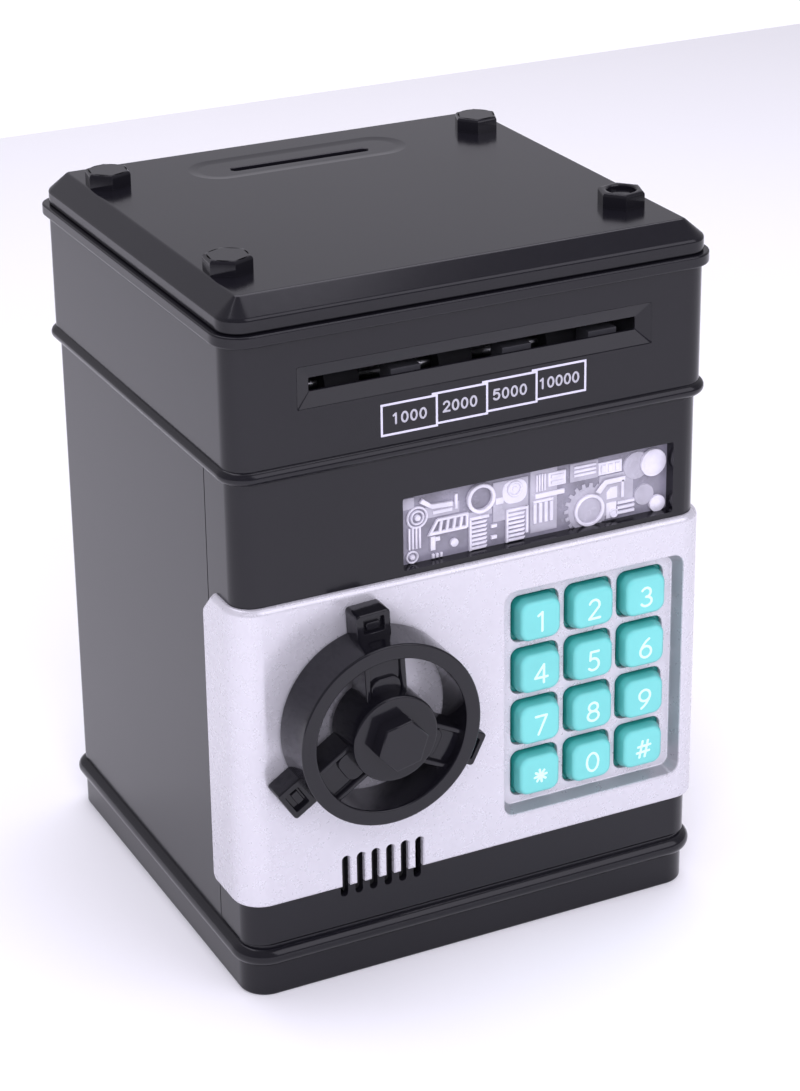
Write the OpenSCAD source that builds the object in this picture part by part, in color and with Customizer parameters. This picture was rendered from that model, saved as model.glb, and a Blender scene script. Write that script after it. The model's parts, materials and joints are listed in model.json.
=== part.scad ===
/* Toy cash-machine money box: keypad door, handwheel lock, banknote feeder and coin slot. */

/* [Casing] */
// Width of the body, side to side
body_w = 127.4; // [122:0.2:134]
// Depth of the body, front to back
body_d = 117.4; // [112:0.2:124]
// Height of the lid's flat top above the table
top_z = 184; // [183:0.5:188]
// Corner radius at the front
front_r = 6; // [5:0.5:7]
// Corner radius at the back
back_r = 4.5; // [4:0.5:5]
// Wall thickness of the casings
wall = 2.2; // [1.8:0.1:2.4]
// How far the head stands out from the body
head_out = 0.85; // [0.4:0.05:1]
// How far the lid stands out from the body
lid_out = 1.1; // [1:0.05:1.4]
// Width of the lid's sloping edge, seen from above
lid_slope_w = 5; // [3:0.1:5]
// Height of the lid's sloping edge
lid_slope_h = 4.4; // [3:0.1:5]

/* [Levels] */
// Top of the base tray
base_top = 14.5; // [14:0.1:16]
// Joint between the body and the head
head_bottom = 138.6; // [136:0.1:140]
// Joint between the head and the lid
head_top = 176; // [175:0.1:177]

/* [Door] */
// Distance from the body's front face back to the door's seam
door_d = 17.7; // [16:0.1:18]
// Width of the gap round the door
door_gap = 0.4; // [0.3:0.05:0.6]
// Lower edge of the silver overlay
overlay_bottom = 26.5; // [24:0.1:30]
// Upper edge of the silver overlay
overlay_top = 106.8; // [104:0.1:107]
// How far the overlay stands out from the door
overlay_t = 1.6; // [1.2:0.1:1.8]
// Radius of the hinge knuckles
knuckle_r = 2.3; // [2:0.1:2.4]
// Radius of the hinge pins
hinge_pin_r = 1; // [0.8:0.1:1.2]

/* [Window] */
// Width of the opening in front of the relief
window_w = 75.6; // [60:0.2:76]
// Height of the opening in front of the relief
window_h = 19; // [14:0.5:19]
// Centre of the window, to the right of the middle
window_x = 17.8; // [10:0.2:18]
// Centre of the window above the table
window_z = 117.7; // [117:0.1:118]

/* [Keypad] */
// Distance between key columns
key_pitch_x = 15.2; // [14.8:0.1:15.4]
// Distance between key rows
key_pitch_z = 14.45; // [14.2:0.05:14.8]
// Width of the hole for one key
key_hole_w = 13.2; // [12:0.1:13.4]
// Height of the hole for one key
key_hole_h = 12.4; // [11:0.1:12.6]
// Centre of the keypad, to the right of the middle
keypad_x = 32.4; // [31:0.1:33]
// Centre of the keypad above the table
keypad_z = 65.6; // [64:0.1:67]
// Depth of the recess that the keys stand in
keypad_depth = 3.5; // [2.5:0.1:3.6]
// How far a key goes in when pressed
key_travel = 1.2; // [0.6:0.1:1.2]

/* [Handwheel and lock] */
// Centre of the handwheel, measured to the right of the middle
wheel_x = -30.9; // [-32:0.1:-30]
// Centre of the handwheel above the table
wheel_z = 73.4; // [72:0.1:75]
// Outer radius of the rim
rim_r = 23.9; // [20:0.1:25]
// Inner radius of the rim
rim_inner_r = 20; // [17:0.1:20.8]
// Depth of the rim, front to back
rim_depth = 12.8; // [8:0.1:13]
// Distance from the wheel's centre to the end of a lug
lug_reach = 30.3; // [28:0.1:31]
// Angle of the first lug from the horizontal
wheel_angle = 93; // [80:1:100]
// Radius of the wheel's shaft
shaft_r = 4; // [3:0.1:4]
// Gap between the shaft and its bearing in the door
shaft_gap = 0.05; // [0.02:0.01:0.1]
// Distance that the bolt moves between open and locked
bolt_travel = 6.28; // [5:0.01:6.28]

/* [Openings in the top and front] */
// Length of the coin slot
coin_slot_l = 39.4; // [30:0.2:40]
// Width of the coin slot
coin_slot_w = 3; // [2:0.1:3]
// Width of the banknote slot
bill_w = 87.5; // [80:0.5:88]
// Height of the banknote slot
bill_h = 3.15; // [2.5:0.05:3.2]

/* [Banknote feeder] */
// Radius of the driven rubber rollers
drive_roller_r = 6.4; // [6:0.1:6.4]
// Radius of the pinch rollers
pinch_roller_r = 5; // [4:0.1:5]
// Radius of both roller shafts
feed_shaft_r = 2; // [1.5:0.1:2]
// Tooth size of the feeder's gears
feed_module = 0.8; // [0.8:0.1:0.8]

/* [Hidden] */
$fn = 64;

// Colours
black = [0.10, 0.10, 0.12];
charcoal = [0.19, 0.19, 0.22];
silver = [0.83, 0.82, 0.87];
teal = [0.36, 0.85, 0.80];
clear = [0.86, 0.86, 0.92, 0.6];
white = [0.93, 0.93, 0.93];
steel = [0.62, 0.63, 0.65];
rubber_grey = [0.25, 0.25, 0.26];
board_green = [0.08, 0.35, 0.18];
gear_white = [0.90, 0.88, 0.82];
brass_tone = [0.80, 0.64, 0.30];

// Casing planes
half_w = body_w / 2;
half_d = body_d / 2;
front_y = -half_d;
seam_y = front_y + door_d;
head_w = body_w + 2 * head_out;
head_d = body_d + 2 * head_out;
lid_w = body_w + 2 * lid_out;
lid_d = body_d + 2 * lid_out;
base_wall = 3.2;
body_bottom = base_top;
body_top = head_bottom - 0.1;
overlap = 0.5;

// Beads round the casings: radius, centre height and how far the centre stands out
bead_r = 1.75;
flange_h = 3;
flange_out = 1.75;
flange_edge = 0.6;
mid_bead_z = head_bottom + 1.9;
mid_bead_out = -0.45;
base_bead_r = 2.5;
base_bead_z = base_top - 3.1;
base_bead_out = -0.5;

// Lid
lid_bottom = head_top + 0.3;
lid_top_t = 2;
lid_rim_t = 5.2;
lid_back_r = back_r + 0.9;
lid_lip_h = 3.5;
bolt_x = 53;
bolt_y = 38.4;
bolt_centre = [-0.8, 1.6];
bolt_head_r = 6.1;
bolt_head_h = 3.7;
bolt_stud_r = 1.9;
bolt_boss_r = 3.6;
bolt_boss_z = 170.6;
bolt_turns = [[-1, -1, 24], [1, -1, 12], [1, 1, 8], [-1, 1, 20]];
coin_x = -1.6;
coin_y = 36.6;
coin_dish_l = 62;
coin_dish_w = 18;
coin_dish_depth = 0.5;

// Screws
screw_r = 1.4;
screw_hole_r = 1.45;
screw_head_r = 2.8;
screw_head_h = 1.6;
post_r = 3.6;
post_x = half_w - 5.5;
post_y = [seam_y + 5, half_d - 5.7];

// Hinge
hinge_x = half_w + 0.9;
hinge_y = seam_y;
hinge_sets = [30, 122];
knuckle_h = 8;
knuckle_gap = 0.4;
hinge_pin_l = 3 * knuckle_h + 2 * knuckle_gap;

// Banknote mouth
bill_x = 0.35;
bill_z = 160.45;
bill_bevel_w = 94.9;
bill_bevel_h = 10.4;
bill_bevel_d = 1.8;

// Feeder
feed_y = -41;
bill_path_z = 160.15;
drive_z = bill_path_z - 0.15 - drive_roller_r;
pinch_z = bill_path_z + 0.15 + pinch_roller_r;
roller_xs = [-30, bill_x, 30];
roller_w = 9;
chassis_t = 2;
chassis_top = body_top + chassis_t;
side_plate_t = 2;
side_plate_x = [-50, 47];
side_plate_top = 170;
drive_teeth = 24;
idler_teeth = 28;
pinion_teeth = 10;
drive_gear_r = feed_module * drive_teeth / 2;
idler_gear_r = feed_module * idler_teeth / 2;
pinion_gear_r = feed_module * pinion_teeth / 2;
idler_y = feed_y + drive_gear_r + idler_gear_r;
motor_y = idler_y + idler_gear_r + pinion_gear_r;
gear_x = 50;
gear_w = 4;
motor_r = 10;
motor_l = 27;
fit_gap = 0.05;
drop_y = [-33.5, -18.5];
drop_w = 90;
rib_xs = [-17.5, 12.3, 36];
rib_w = 7.8;
rib_top = 159.7;
chute_w = 41;
chute_d = 6;
chute_wall = 1.2;
chute_bottom = 134;

// Door
door_bottom = base_top + door_gap - 0.1;
door_top = head_bottom - door_gap;
door_rear = seam_y - door_gap / 2;
door_inner_y = front_y + wall;
overlay_y = front_y - overlay_t;
overlay_h = overlay_top - overlay_bottom;
overlay_cut = 4.7;
relief_y = front_y + 2.2;
relief_t = 2.6;
tray_floor_y = overlay_y + keypad_depth;
tray_floor_t = 1.2;
tray_slope = 1.5;
recess_w = 51.4;
recess_h = 62.5;
vent_count = 6;
vent_x = -37.6;
vent_pitch = 4.06;
vent_w = 2.1;
vent_bottom = 22.8;
vent_top = 35;
door_post_r = 3.2;
door_posts = [[-54, 21], [-54, 132.2], [55, 132.2], [-13, 21]];
cover_y = seam_y - 2;
cover_t = 1.6;

// Keys: the hole leaves a gap, and a flange behind the tray holds each key in
key_gap = 0.25;
key_base_w = key_hole_w - 2 * key_gap;
key_base_h = key_hole_h - 2 * key_gap;
key_face_w = 10.7;
key_face_h = 9.9;
key_r = 2.6;
key_flange_y = tray_floor_y + tray_floor_t + 0.3;
key_flange_t = 0.9;
key_flange_w = 14.4;
key_flange_h = 13.6;
mat_y = key_flange_y + key_flange_t + key_travel + 0.3;
mat_t = 1.1;
pad_board_y = mat_y + mat_t + 0.1;
board_t = 1.6;

// Wheel and lock
rim_rear = overlay_y - 0.7;
rim_front = rim_rear - rim_depth;
hub_front = rim_front - 1.9;
hub_r = 11.2;
hex_h = 4.3;
hex_r = 6.7;
hex_turn = 12;
lug_w = 8.9;
lug_front = rim_rear - 6.4;
lock_y = -49.5;
lock_t = 4;
pinion_r = 6;
lock_teeth = 12;
lock_module = 1;
tooth_out = 0.8;
tooth_in = 1.1;
rack_z = wheel_z - pinion_r;
bolt_tip = -54.9;
bolt_tail = -8;
bolt_bottom = 60.9;
plunger_x = -40;
plunger_r = 1.8;
speaker_x = -27.4;
speaker_z = 28.6;

// Battery box on the back of the door, for three cells side by side
bat_x = [-7.4, 50];
bat_z = [20, 66];
bat_y = [-49.4, -32];
bat_wall = 1.4;

// A rounded rectangle with one radius at the front corners and another at the back
module plan(w, d, rf, rb) {
    for (s = [-1, 1]) {
        translate([s * (w / 2 - rf), -d / 2 + rf]) circle(rf);
        translate([s * (w / 2 - rb), d / 2 - rb]) circle(rb);
    }
    translate([-w / 2 + rf, -d / 2]) square([w - 2 * rf, d / 2]);
    translate([-w / 2 + rb, -overlap]) square([w - 2 * rb, d / 2 + overlap]);
    translate([-w / 2, -d / 2 + rf]) square([w, d - rf - rb]);
}

// A wall of that outline
module shell_wall(w, d, rf, rb, t, z0, z1) {
    translate([0, 0, z0]) linear_extrude(z1 - z0) difference() {
        plan(w, d, rf, rb);
        plan(w - 2 * t, d - 2 * t, rf - t, rb - t);
    }
}

// Sweeps a profile round the outline: the profile's x is the distance out from the wall
module sweep_round(w, d, rf, rb) {
    corners = [
        [-w / 2 + rf, -d / 2 + rf, rf, 180], [w / 2 - rf, -d / 2 + rf, rf, 270],
        [w / 2 - rb, d / 2 - rb, rb, 0], [-w / 2 + rb, d / 2 - rb, rb, 90]
    ];
    for (c = corners) {
        translate([c[0], c[1], 0]) rotate([0, 0, c[3]])
            rotate_extrude(angle = 90) translate([c[2], 0]) children();
    }
    for (s = [-1, 1]) {
        translate([s * w / 2, (rf - rb) / 2, 0]) rotate([0, 0, s > 0 ? 0 : 180])
            rotate([90, 0, 0]) linear_extrude(d - rf - rb, center = true) children();
    }
    translate([0, -d / 2, 0]) rotate([0, 0, 270]) rotate([90, 0, 0])
        linear_extrude(w - 2 * rf, center = true) children();
    translate([0, d / 2, 0]) rotate([0, 0, 90]) rotate([90, 0, 0])
        linear_extrude(w - 2 * rb, center = true) children();
}

// A box from one corner to the other
module box(a, b) {
    translate(a) cube(b - a);
}

// A cylinder along X or Y that starts at the given point
module rod_x(x0, x1, y, z, r) {
    translate([x0, y, z]) rotate([0, 90, 0]) cylinder(h = x1 - x0, r = r);
}

module rod_y(x, y0, y1, z, r) {
    translate([x, y1, z]) rotate([90, 0, 0]) cylinder(h = y1 - y0, r = r);
}

// A rounded rectangle that stands upright, from y0 to y1
module upright_plate(x, z, w, h, r, y0, y1) {
    translate([x, y1, z]) rotate([90, 0, 0]) linear_extrude(y1 - y0) plan(w, h, r, r);
}

// A slot with round ends along X
module slot_2d(l, w) {
    square([l - w, w], center = true);
    for (s = [-1, 1]) translate([s * (l - w) / 2, 0]) circle(w / 2);
}

// A spur gear's outline, with a tooth on the x axis
module gear_2d(teeth, m, out, in) {
    pitch_r = m * teeth / 2;
    root = pitch_r - m * in;
    tip = pitch_r + m * out;
    circle(root);
    for (i = [0 : teeth - 1]) rotate(i * 360 / teeth) polygon([
        [root - 0.4 * m, -0.95 * m], [pitch_r, -0.66 * m], [tip, -0.26 * m],
        [tip, 0.26 * m], [pitch_r, 0.66 * m], [root - 0.4 * m, 0.95 * m]
    ]);
}

// One gear on a shaft along X
module gear_on_x(x0, x1, y, z, teeth, turn, hole_r) {
    translate([x0, y, z]) rotate([0, 90, 0]) rotate([0, 0, 90 + turn]) difference() {
        linear_extrude(x1 - x0) gear_2d(teeth, feed_module, tooth_out, tooth_in);
        translate([0, 0, -1]) cylinder(h = x1 - x0 + 2, r = hole_r);
    }
}

module bolt_places() {
    for (b = bolt_turns)
        translate([bolt_centre[0] + b[0] * bolt_x, bolt_centre[1] + b[1] * bolt_y, 0]) children();
}

module post_places() {
    for (s = [-1, 1], y = post_y) translate([s * post_x, y, 0]) children();
}

module lid() {
    rim_h = top_z - lid_bottom;
    slope_z = rim_h - lid_slope_h;
    rim = [
        [0, 0], [0, slope_z], [-lid_slope_w, rim_h], [-lid_rim_t, rim_h],
        [-lid_rim_t, rim_h - lid_top_t], [-wall, slope_z - 0.8], [-wall, 0]
    ];
    color(black) difference() {
        union() {
            translate([0, 0, lid_bottom]) sweep_round(lid_w, lid_d, front_r, lid_back_r) polygon(rim);
            translate([0, 0, top_z - lid_top_t]) linear_extrude(lid_top_t)
                square([lid_w - 2 * lid_rim_t + overlap, lid_d - 2 * lid_rim_t + overlap], center = true);
            shell_wall(head_w - 2 * wall - 0.4, head_d - 2 * wall - 0.4, front_r - wall - 0.2,
                back_r - wall - 0.2, 1.4, lid_bottom - lid_lip_h, lid_bottom + 1.4);
        }
        translate([coin_x, coin_y, top_z - lid_top_t - 1]) linear_extrude(lid_top_t + 2)
            slot_2d(coin_slot_l, coin_slot_w);
        translate([coin_x, coin_y + 1, top_z - coin_dish_depth]) linear_extrude(1)
            slot_2d(coin_dish_l, coin_dish_w);
        bolt_places() translate([0, 0, top_z - lid_top_t - 1]) cylinder(h = lid_top_t + 2, r = 2.2);
    }
}

module lid_bolts() {
    color(black) for (b = bolt_turns)
        translate([bolt_centre[0] + b[0] * bolt_x, bolt_centre[1] + b[1] * bolt_y, top_z]) {
            rotate([0, 0, b[2]]) difference() {
                cylinder(h = bolt_head_h, r = bolt_head_r, $fn = 6);
                if (b[0] > 0 && b[1] < 0) translate([0, 0, bolt_head_h - 1.4]) cylinder(h = 2, r = 3.4);
            }
            translate([0, 0, -10]) cylinder(h = 10.5, r = bolt_stud_r);
        }
}

// The funnel in front of the banknote slot
module bill_mouth() {
    y0 = -head_d / 2;
    y1 = y0 + bill_bevel_d;
    intersection() {
        translate([0, 0, bill_z - 10]) linear_extrude(20) polygon([
            [bill_x - bill_bevel_w / 2, y0], [bill_x - bill_w / 2, y1],
            [bill_x + bill_w / 2, y1], [bill_x + bill_bevel_w / 2, y0]
        ]);
        translate([bill_x - 50, 0, 0]) rotate([90, 0, 90]) linear_extrude(100) polygon([
            [y0, bill_z - bill_bevel_h / 2], [y1, bill_z - bill_h / 2],
            [y1, bill_z + bill_h / 2], [y0, bill_z + bill_bevel_h / 2]
        ]);
    }
    box([bill_x - bill_w / 2, y1 - 0.1, bill_z - bill_h / 2],
        [bill_x + bill_w / 2, y1 + wall, bill_z + bill_h / 2]);
}

module head_casing() {
    color(black) difference() {
        union() {
            shell_wall(head_w, head_d, front_r, back_r, wall, head_bottom, head_top);
            translate([0, 0, head_top - flange_h]) sweep_round(head_w, head_d, front_r, back_r) polygon([
                [-overlap, 0], [flange_out - flange_edge, 0], [flange_out, flange_edge],
                [flange_out, flange_h - 0.3], [flange_out - 0.3, flange_h], [-overlap, flange_h]
            ]);
            translate([0, 0, mid_bead_z]) sweep_round(head_w, head_d, front_r, back_r)
                translate([mid_bead_out, 0]) circle(bead_r);
            for (s = [-1, 1], t = [-1, 1]) {
                x = bolt_centre[0] + s * bolt_x;
                y = bolt_centre[1] + t * bolt_y;
                wall_x = s * (head_w / 2 - wall + overlap);
                translate([x, y, bolt_boss_z])
                    cylinder(h = top_z - lid_top_t - 0.2 - bolt_boss_z, r = bolt_boss_r);
                translate([(x + wall_x) / 2, y, bolt_boss_z + 0.9])
                    cube([abs(wall_x - x), 2, 1.8], center = true);
            }
        }
        bill_mouth();
        bolt_places() translate([0, 0, top_z - 11]) cylinder(h = 12, r = bolt_stud_r + fit_gap);
    }
}

// The pair of posts that screws hold, one above the other
module posts(z0, z1) {
    post_places() translate([0, 0, z0]) cylinder(h = z1 - z0, r = post_r);
}

module post_holes(z0, z1, r) {
    post_places() translate([0, 0, z0]) cylinder(h = z1 - z0, r = r);
}

module knuckle(z0, z1, r) {
    translate([hinge_x, hinge_y, z0]) cylinder(h = z1 - z0, r = r);
}

module body_shell() {
    color(black) difference() {
        union() {
            difference() {
                shell_wall(body_w, body_d, front_r, back_r, wall, body_bottom, body_top);
                box([-body_w, -body_d, 0], [body_w, seam_y + door_gap / 2, top_z]);
            }
            intersection() {
                union() {
                    posts(body_bottom, body_bottom + 16);
                    posts(body_top - 14, body_top);
                }
                linear_extrude(top_z) plan(body_w - 1, body_d - 1, front_r, back_r);
            }
            for (z = hinge_sets) knuckle(z, z + knuckle_h, knuckle_r);
        }
        post_holes(body_bottom - 1, body_bottom + 12, screw_hole_r);
        post_holes(body_top - 11, body_top + 1, screw_hole_r);
        for (z = hinge_sets) {
            knuckle(z - 1, z + knuckle_h + 1, hinge_pin_r + 0.02);
            for (s = [-1, 1]) knuckle(z + s * (knuckle_h + knuckle_gap) - knuckle_gap,
                z + s * (knuckle_h + knuckle_gap) + knuckle_h + knuckle_gap, knuckle_r + 0.4);
        }
    }
}

module hinge_pins() {
    color(steel) for (z = hinge_sets)
        translate([hinge_x, hinge_y, z + knuckle_h / 2 - hinge_pin_l / 2])
            cylinder(h = hinge_pin_l, r = hinge_pin_r);
}

module base_tray() {
    color(black) difference() {
        union() {
            shell_wall(body_w, body_d, front_r + 1, back_r, base_wall, 0, base_top);
            linear_extrude(wall) plan(body_w - 2, body_d - 2, front_r, back_r - 1);
            translate([0, 0, base_bead_z]) sweep_round(body_w, body_d, front_r + 1, back_r)
                translate([base_bead_out, 0]) circle(base_bead_r);
            posts(0, base_top);
        }
        post_holes(-1, base_top + 1, screw_hole_r + 0.15);
        post_holes(-1, 3.6, screw_head_r + 0.3);
    }
}

module base_screws() {
    color(steel) post_places() {
        translate([0, 0, 1.9]) cylinder(h = screw_head_h, r = screw_head_r);
        translate([0, 0, 3]) cylinder(h = 21, r = screw_r);
    }
}

module strike_plate() {
    keep_x = [-half_w + 3.1, -half_w + 5.1];
    color(steel) difference() {
        union() {
            box([keep_x[0], -53.6, 56], [keep_x[1], -30, 71]);
            box([-half_w + wall, seam_y + 3.2, 56], [keep_x[0] + 0.1, -30, 71]);
        }
        box([keep_x[0] - 1, lock_y - 2.4, bolt_bottom - 0.4], [keep_x[1] + 1, lock_y + 2.4, 66.9]);
    }
}

// Holes for both roller shafts and for the drive parts beyond the right side plate
module shaft_holes() {
    rod_x(-60, 60, feed_y, drive_z, feed_shaft_r + fit_gap);
    rod_x(-60, 60, feed_y, pinch_z, feed_shaft_r + fit_gap);
    rod_x(40, 60, idler_y, drive_z, feed_shaft_r + fit_gap);
    rod_x(40, 60, motor_y, drive_z, 3);
}

module feed_chassis() {
    color(charcoal) difference() {
        union() {
            translate([0, 0, body_top]) linear_extrude(chassis_t)
                plan(head_w - 2 * wall - 0.6, head_d - 2 * wall - 0.6, front_r - wall, back_r - wall);
            for (x = side_plate_x)
                box([x, feed_y - 13, chassis_top - 0.1], [x + side_plate_t, motor_y + 12, side_plate_top]);
            for (x = [20, 40])
                box([x, motor_y - 6, chassis_top - 0.1], [x + 2, motor_y + 6, drive_z - motor_r - 0.1]);
        }
        box([bill_x - drop_w / 2, drop_y[0], body_top - 1],
            [bill_x + drop_w / 2, drop_y[1], chassis_top + 1]);
        translate([coin_x, coin_y, body_top - 1]) linear_extrude(chassis_t + 2)
            square([chute_w + 2 * chute_wall + 0.6, chute_d + 2 * chute_wall + 0.6], center = true);
        shaft_holes();
        post_holes(body_top - 1, chassis_top + 1, screw_hole_r + 0.15);
    }
}

module chassis_screws() {
    color(steel) post_places() {
        translate([0, 0, chassis_top]) cylinder(h = screw_head_h, r = screw_head_r);
        translate([0, 0, body_top - 10]) cylinder(h = 10 + chassis_t + 0.5, r = screw_r);
    }
}

module lower_bill_guide() {
    left = side_plate_x[0] + side_plate_t;
    color(charcoal) {
        box([left, -57.2, 150], [side_plate_x[1], -50, 152]);
        for (x = rib_xs) box([x - rib_w / 2, -56, 151.5], [x + rib_w / 2, -50, rib_top]);
    }
}

module upper_bill_guide() {
    left = side_plate_x[0] + side_plate_t;
    color(charcoal) box([left, -56.8, 162.6], [side_plate_x[1], -47.6, 164.2]);
}

module bill_drop_guide() {
    left = side_plate_x[0] + side_plate_t;
    color(charcoal) difference() {
        box([left, -17.6, chassis_top], [side_plate_x[1], -16.2, 166]);
        for (x = [-36 : 12 : 36]) box([x - 3, -19, 146], [x + 3, -15, 158]);
    }
}

module bill_sensor() {
    color(board_green) box([8, -56, 164.2], [24, -49, 165.6]);
    color(black) for (x = [11, 21]) box([x - 1.5, -54, 165.4], [x + 1.5, -51, 168.4]);
}

module coin_chute() {
    color(charcoal) translate([coin_x, coin_y, 0]) difference() {
        union() {
            translate([0, 0, chute_bottom]) linear_extrude(top_z - lid_top_t - 0.4 - chute_bottom)
                square([chute_w + 2 * chute_wall, chute_d + 2 * chute_wall], center = true);
            translate([0, 0, chassis_top]) linear_extrude(1.4) square([54, 18], center = true);
        }
        translate([0, 0, chute_bottom - 1]) linear_extrude(top_z)
            square([chute_w, chute_d], center = true);
    }
}

module feed_motor() {
    color(steel) intersection() {
        rod_x(side_plate_x[1] - motor_l, side_plate_x[1], motor_y, drive_z, motor_r);
        box([0, motor_y - 7.6, 0], [60, motor_y + 7.6, 200]);
    }
    color(white) rod_x(side_plate_x[1] - motor_l - 2, side_plate_x[1] - motor_l + 0.5, motor_y, drive_z, 3);
}

module feed_drive_shaft() {
    color(steel) rod_x(side_plate_x[0] - 1.5, gear_x + gear_w + 1, feed_y, drive_z, feed_shaft_r);
}

module roller_row(z, r) {
    for (x = roller_xs) difference() {
        rod_x(x - roller_w / 2, x + roller_w / 2, feed_y, z, r);
        rod_x(x - roller_w, x + roller_w, feed_y, z, feed_shaft_r + 0.01);
    }
}

module feed_drive_rollers() {
    color(rubber_grey) roller_row(drive_z, drive_roller_r);
}

module feed_drive_gear() {
    color(gear_white)
        gear_on_x(gear_x, gear_x + gear_w, feed_y, drive_z, drive_teeth, 0, feed_shaft_r + 0.01);
}

module pinch_shaft() {
    color(steel)
        rod_x(side_plate_x[0] - 1, side_plate_x[1] + side_plate_t + 1, feed_y, pinch_z, feed_shaft_r);
}

module pinch_rollers() {
    color(rubber_grey) roller_row(pinch_z, pinch_roller_r);
}

module feed_idler_gear() {
    color(gear_white) {
        gear_on_x(gear_x, gear_x + gear_w, idler_y, drive_z, idler_teeth, 180 / idler_teeth, 0.5);
        rod_x(side_plate_x[1] - 1, gear_x + gear_w + 1, idler_y, drive_z, feed_shaft_r);
    }
}

module motor_pinion() {
    color(brass_tone) {
        gear_on_x(gear_x, gear_x + gear_w, motor_y, drive_z, pinion_teeth, 0, 0.5);
        rod_x(side_plate_x[1] + 0.1, gear_x + gear_w, motor_y, drive_z, 1.2);
    }
}

// The vents' slots through the overlay and the door
module vents(y0, y1) {
    for (i = [0 : vent_count - 1]) translate([vent_x + i * vent_pitch, y1, (vent_bottom + vent_top) / 2])
        rotate([90, 0, 0]) linear_extrude(y1 - y0) rotate(90) slot_2d(vent_top - vent_bottom, vent_w);
}

module door_panel() {
    color(black) difference() {
        union() {
            difference() {
                translate([0, 0, door_bottom]) linear_extrude(door_top - door_bottom)
                    plan(body_w, body_d, front_r, back_r);
                translate([0, 0, door_bottom + wall]) linear_extrude(door_top - door_bottom - 2 * wall)
                    plan(body_w - 2 * wall, body_d - 2 * wall, front_r - wall, back_r - wall);
                box([-body_w, door_rear, 0], [body_w, body_d, top_z]);
            }
            upright_plate(window_x, window_z, window_w + 3, window_h + 3, 1,
                door_inner_y - 0.1, relief_y + 1);
            rod_y(wheel_x, door_inner_y - 0.1, -52, wheel_z, 7);
            for (p = door_posts) rod_y(p[0], door_inner_y - 0.1, cover_y, p[1], door_post_r);
            for (z = hinge_sets, s = [-1, 1]) {
                k = z + s * (knuckle_h + knuckle_gap);
                knuckle(k, k + knuckle_h, knuckle_r);
            }
        }
        upright_plate(window_x, window_z, window_w, window_h, 0.6, front_y - 1, relief_y + 2);
        upright_plate(keypad_x + 0.3, keypad_z - 0.2, recess_w + 1.4, recess_h + 1.4, 2,
            front_y - 1, door_inner_y + 1);
        vents(front_y - 1, door_inner_y + 1);
        rod_y(wheel_x, front_y - 1, -50, wheel_z, shaft_r + shaft_gap);
        for (p = door_posts) rod_y(p[0], cover_y - 9, cover_y + 1, p[1], screw_hole_r);
        for (z = hinge_sets) {
            translate([hinge_x, hinge_y, z - 12]) cylinder(h = knuckle_h + 24, r = hinge_pin_r + fit_gap);
            knuckle(z - knuckle_gap, z + knuckle_h + knuckle_gap, knuckle_r + 0.4);
        }
    }
}

// Half of the overlay: it runs round one front corner, and leg_y is where its side ends
module overlay_half(side, leg_y) {
    section = [
        [0, 0], [overlay_t - 1, 0], [overlay_t, 1], [overlay_t, overlay_h - 1.4],
        [0.2, overlay_h], [0, overlay_h]
    ];
    corner_x = half_w - front_r;
    corner_y = front_y + front_r;
    mirror([side < 0 ? 1 : 0, 0, 0]) {
        translate([corner_x, corner_y, 0]) rotate([0, 0, 270])
            rotate_extrude(angle = 90) translate([front_r, 0]) polygon(section);
        translate([corner_x / 2, front_y, 0]) rotate([0, 0, 270]) rotate([90, 0, 0])
            linear_extrude(corner_x, center = true) polygon(section);
        translate([half_w, leg_y, 0]) rotate([90, 0, 0])
            linear_extrude(leg_y - corner_y) polygon(section);
    }
}

module door_overlay() {
    left_end = seam_y - 0.1;
    right_end = seam_y - 3.4;
    tray_wall = 0.6;
    tray_x = keypad_x + 0.3;
    tray_z = keypad_z - 0.2;
    color(silver) difference() {
        union() {
            difference() {
                translate([0, 0, overlay_bottom]) {
                    overlay_half(-1, left_end);
                    overlay_half(1, right_end);
                }
                upright_plate(tray_x, tray_z, recess_w, recess_h, 3, overlay_y - 1, overlay_y + 4);
                for (s = [-1, 1]) translate([s * (half_w + 1), seam_y, overlay_top]) rotate([45, 0, 0])
                    cube([5, overlay_cut * sqrt(2), overlay_cut * sqrt(2)], center = true);
            }
            difference() {
                upright_plate(tray_x, tray_z, recess_w + 2 * tray_wall, recess_h + 2 * tray_wall, 3.6,
                    front_y - 0.1, tray_floor_y + tray_floor_t);
                upright_plate(tray_x, tray_z, recess_w - 0.6, recess_h - 0.6, 2.7,
                    front_y - 1, tray_floor_y);
            }
        }
        for (i = [-1 : 1], j = [-1.5 : 1.5])
            upright_plate(keypad_x + i * key_pitch_x, keypad_z + j * key_pitch_z, key_hole_w, key_hole_h,
                key_r, overlay_y - 1, tray_floor_y + tray_floor_t + 1);
        vents(overlay_y - 1, front_y + 1);
        rod_y(wheel_x, overlay_y - 1, front_y + 1, wheel_z, shaft_r + 1);
    }
}

module window_relief() {
    back = relief_y + relief_t;
    color(clear) {
        upright_plate(window_x, window_z, window_w + 3.6, window_h + 2.6, 1, relief_y + 1, back);
        rod_y(47.5, relief_y, relief_y + 1.1, 122, 4);
        rod_y(50, relief_y, relief_y + 1.1, 112, 2.6);
        rod_y(29, relief_y, relief_y + 1.1, 115, 4.4);
        rod_y(0.5, relief_y, relief_y + 1.1, 121, 4.2);
        rod_y(-15, relief_y, relief_y + 1.1, 120, 3);
        box([-4, relief_y + 0.2, 109.5], [2, relief_y + 1.1, 115]);
        box([8, relief_y + 0.2, 109.5], [13, relief_y + 1.1, 115]);
        box([15, relief_y + 0.2, 113], [20, relief_y + 1.1, 125]);
    }
}

module window_reflector() {
    back = relief_y + relief_t;
    color(white) upright_plate(window_x, window_z, window_w + 3, window_h + 2, 1, back + 0.1, back + 0.9);
}

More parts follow.
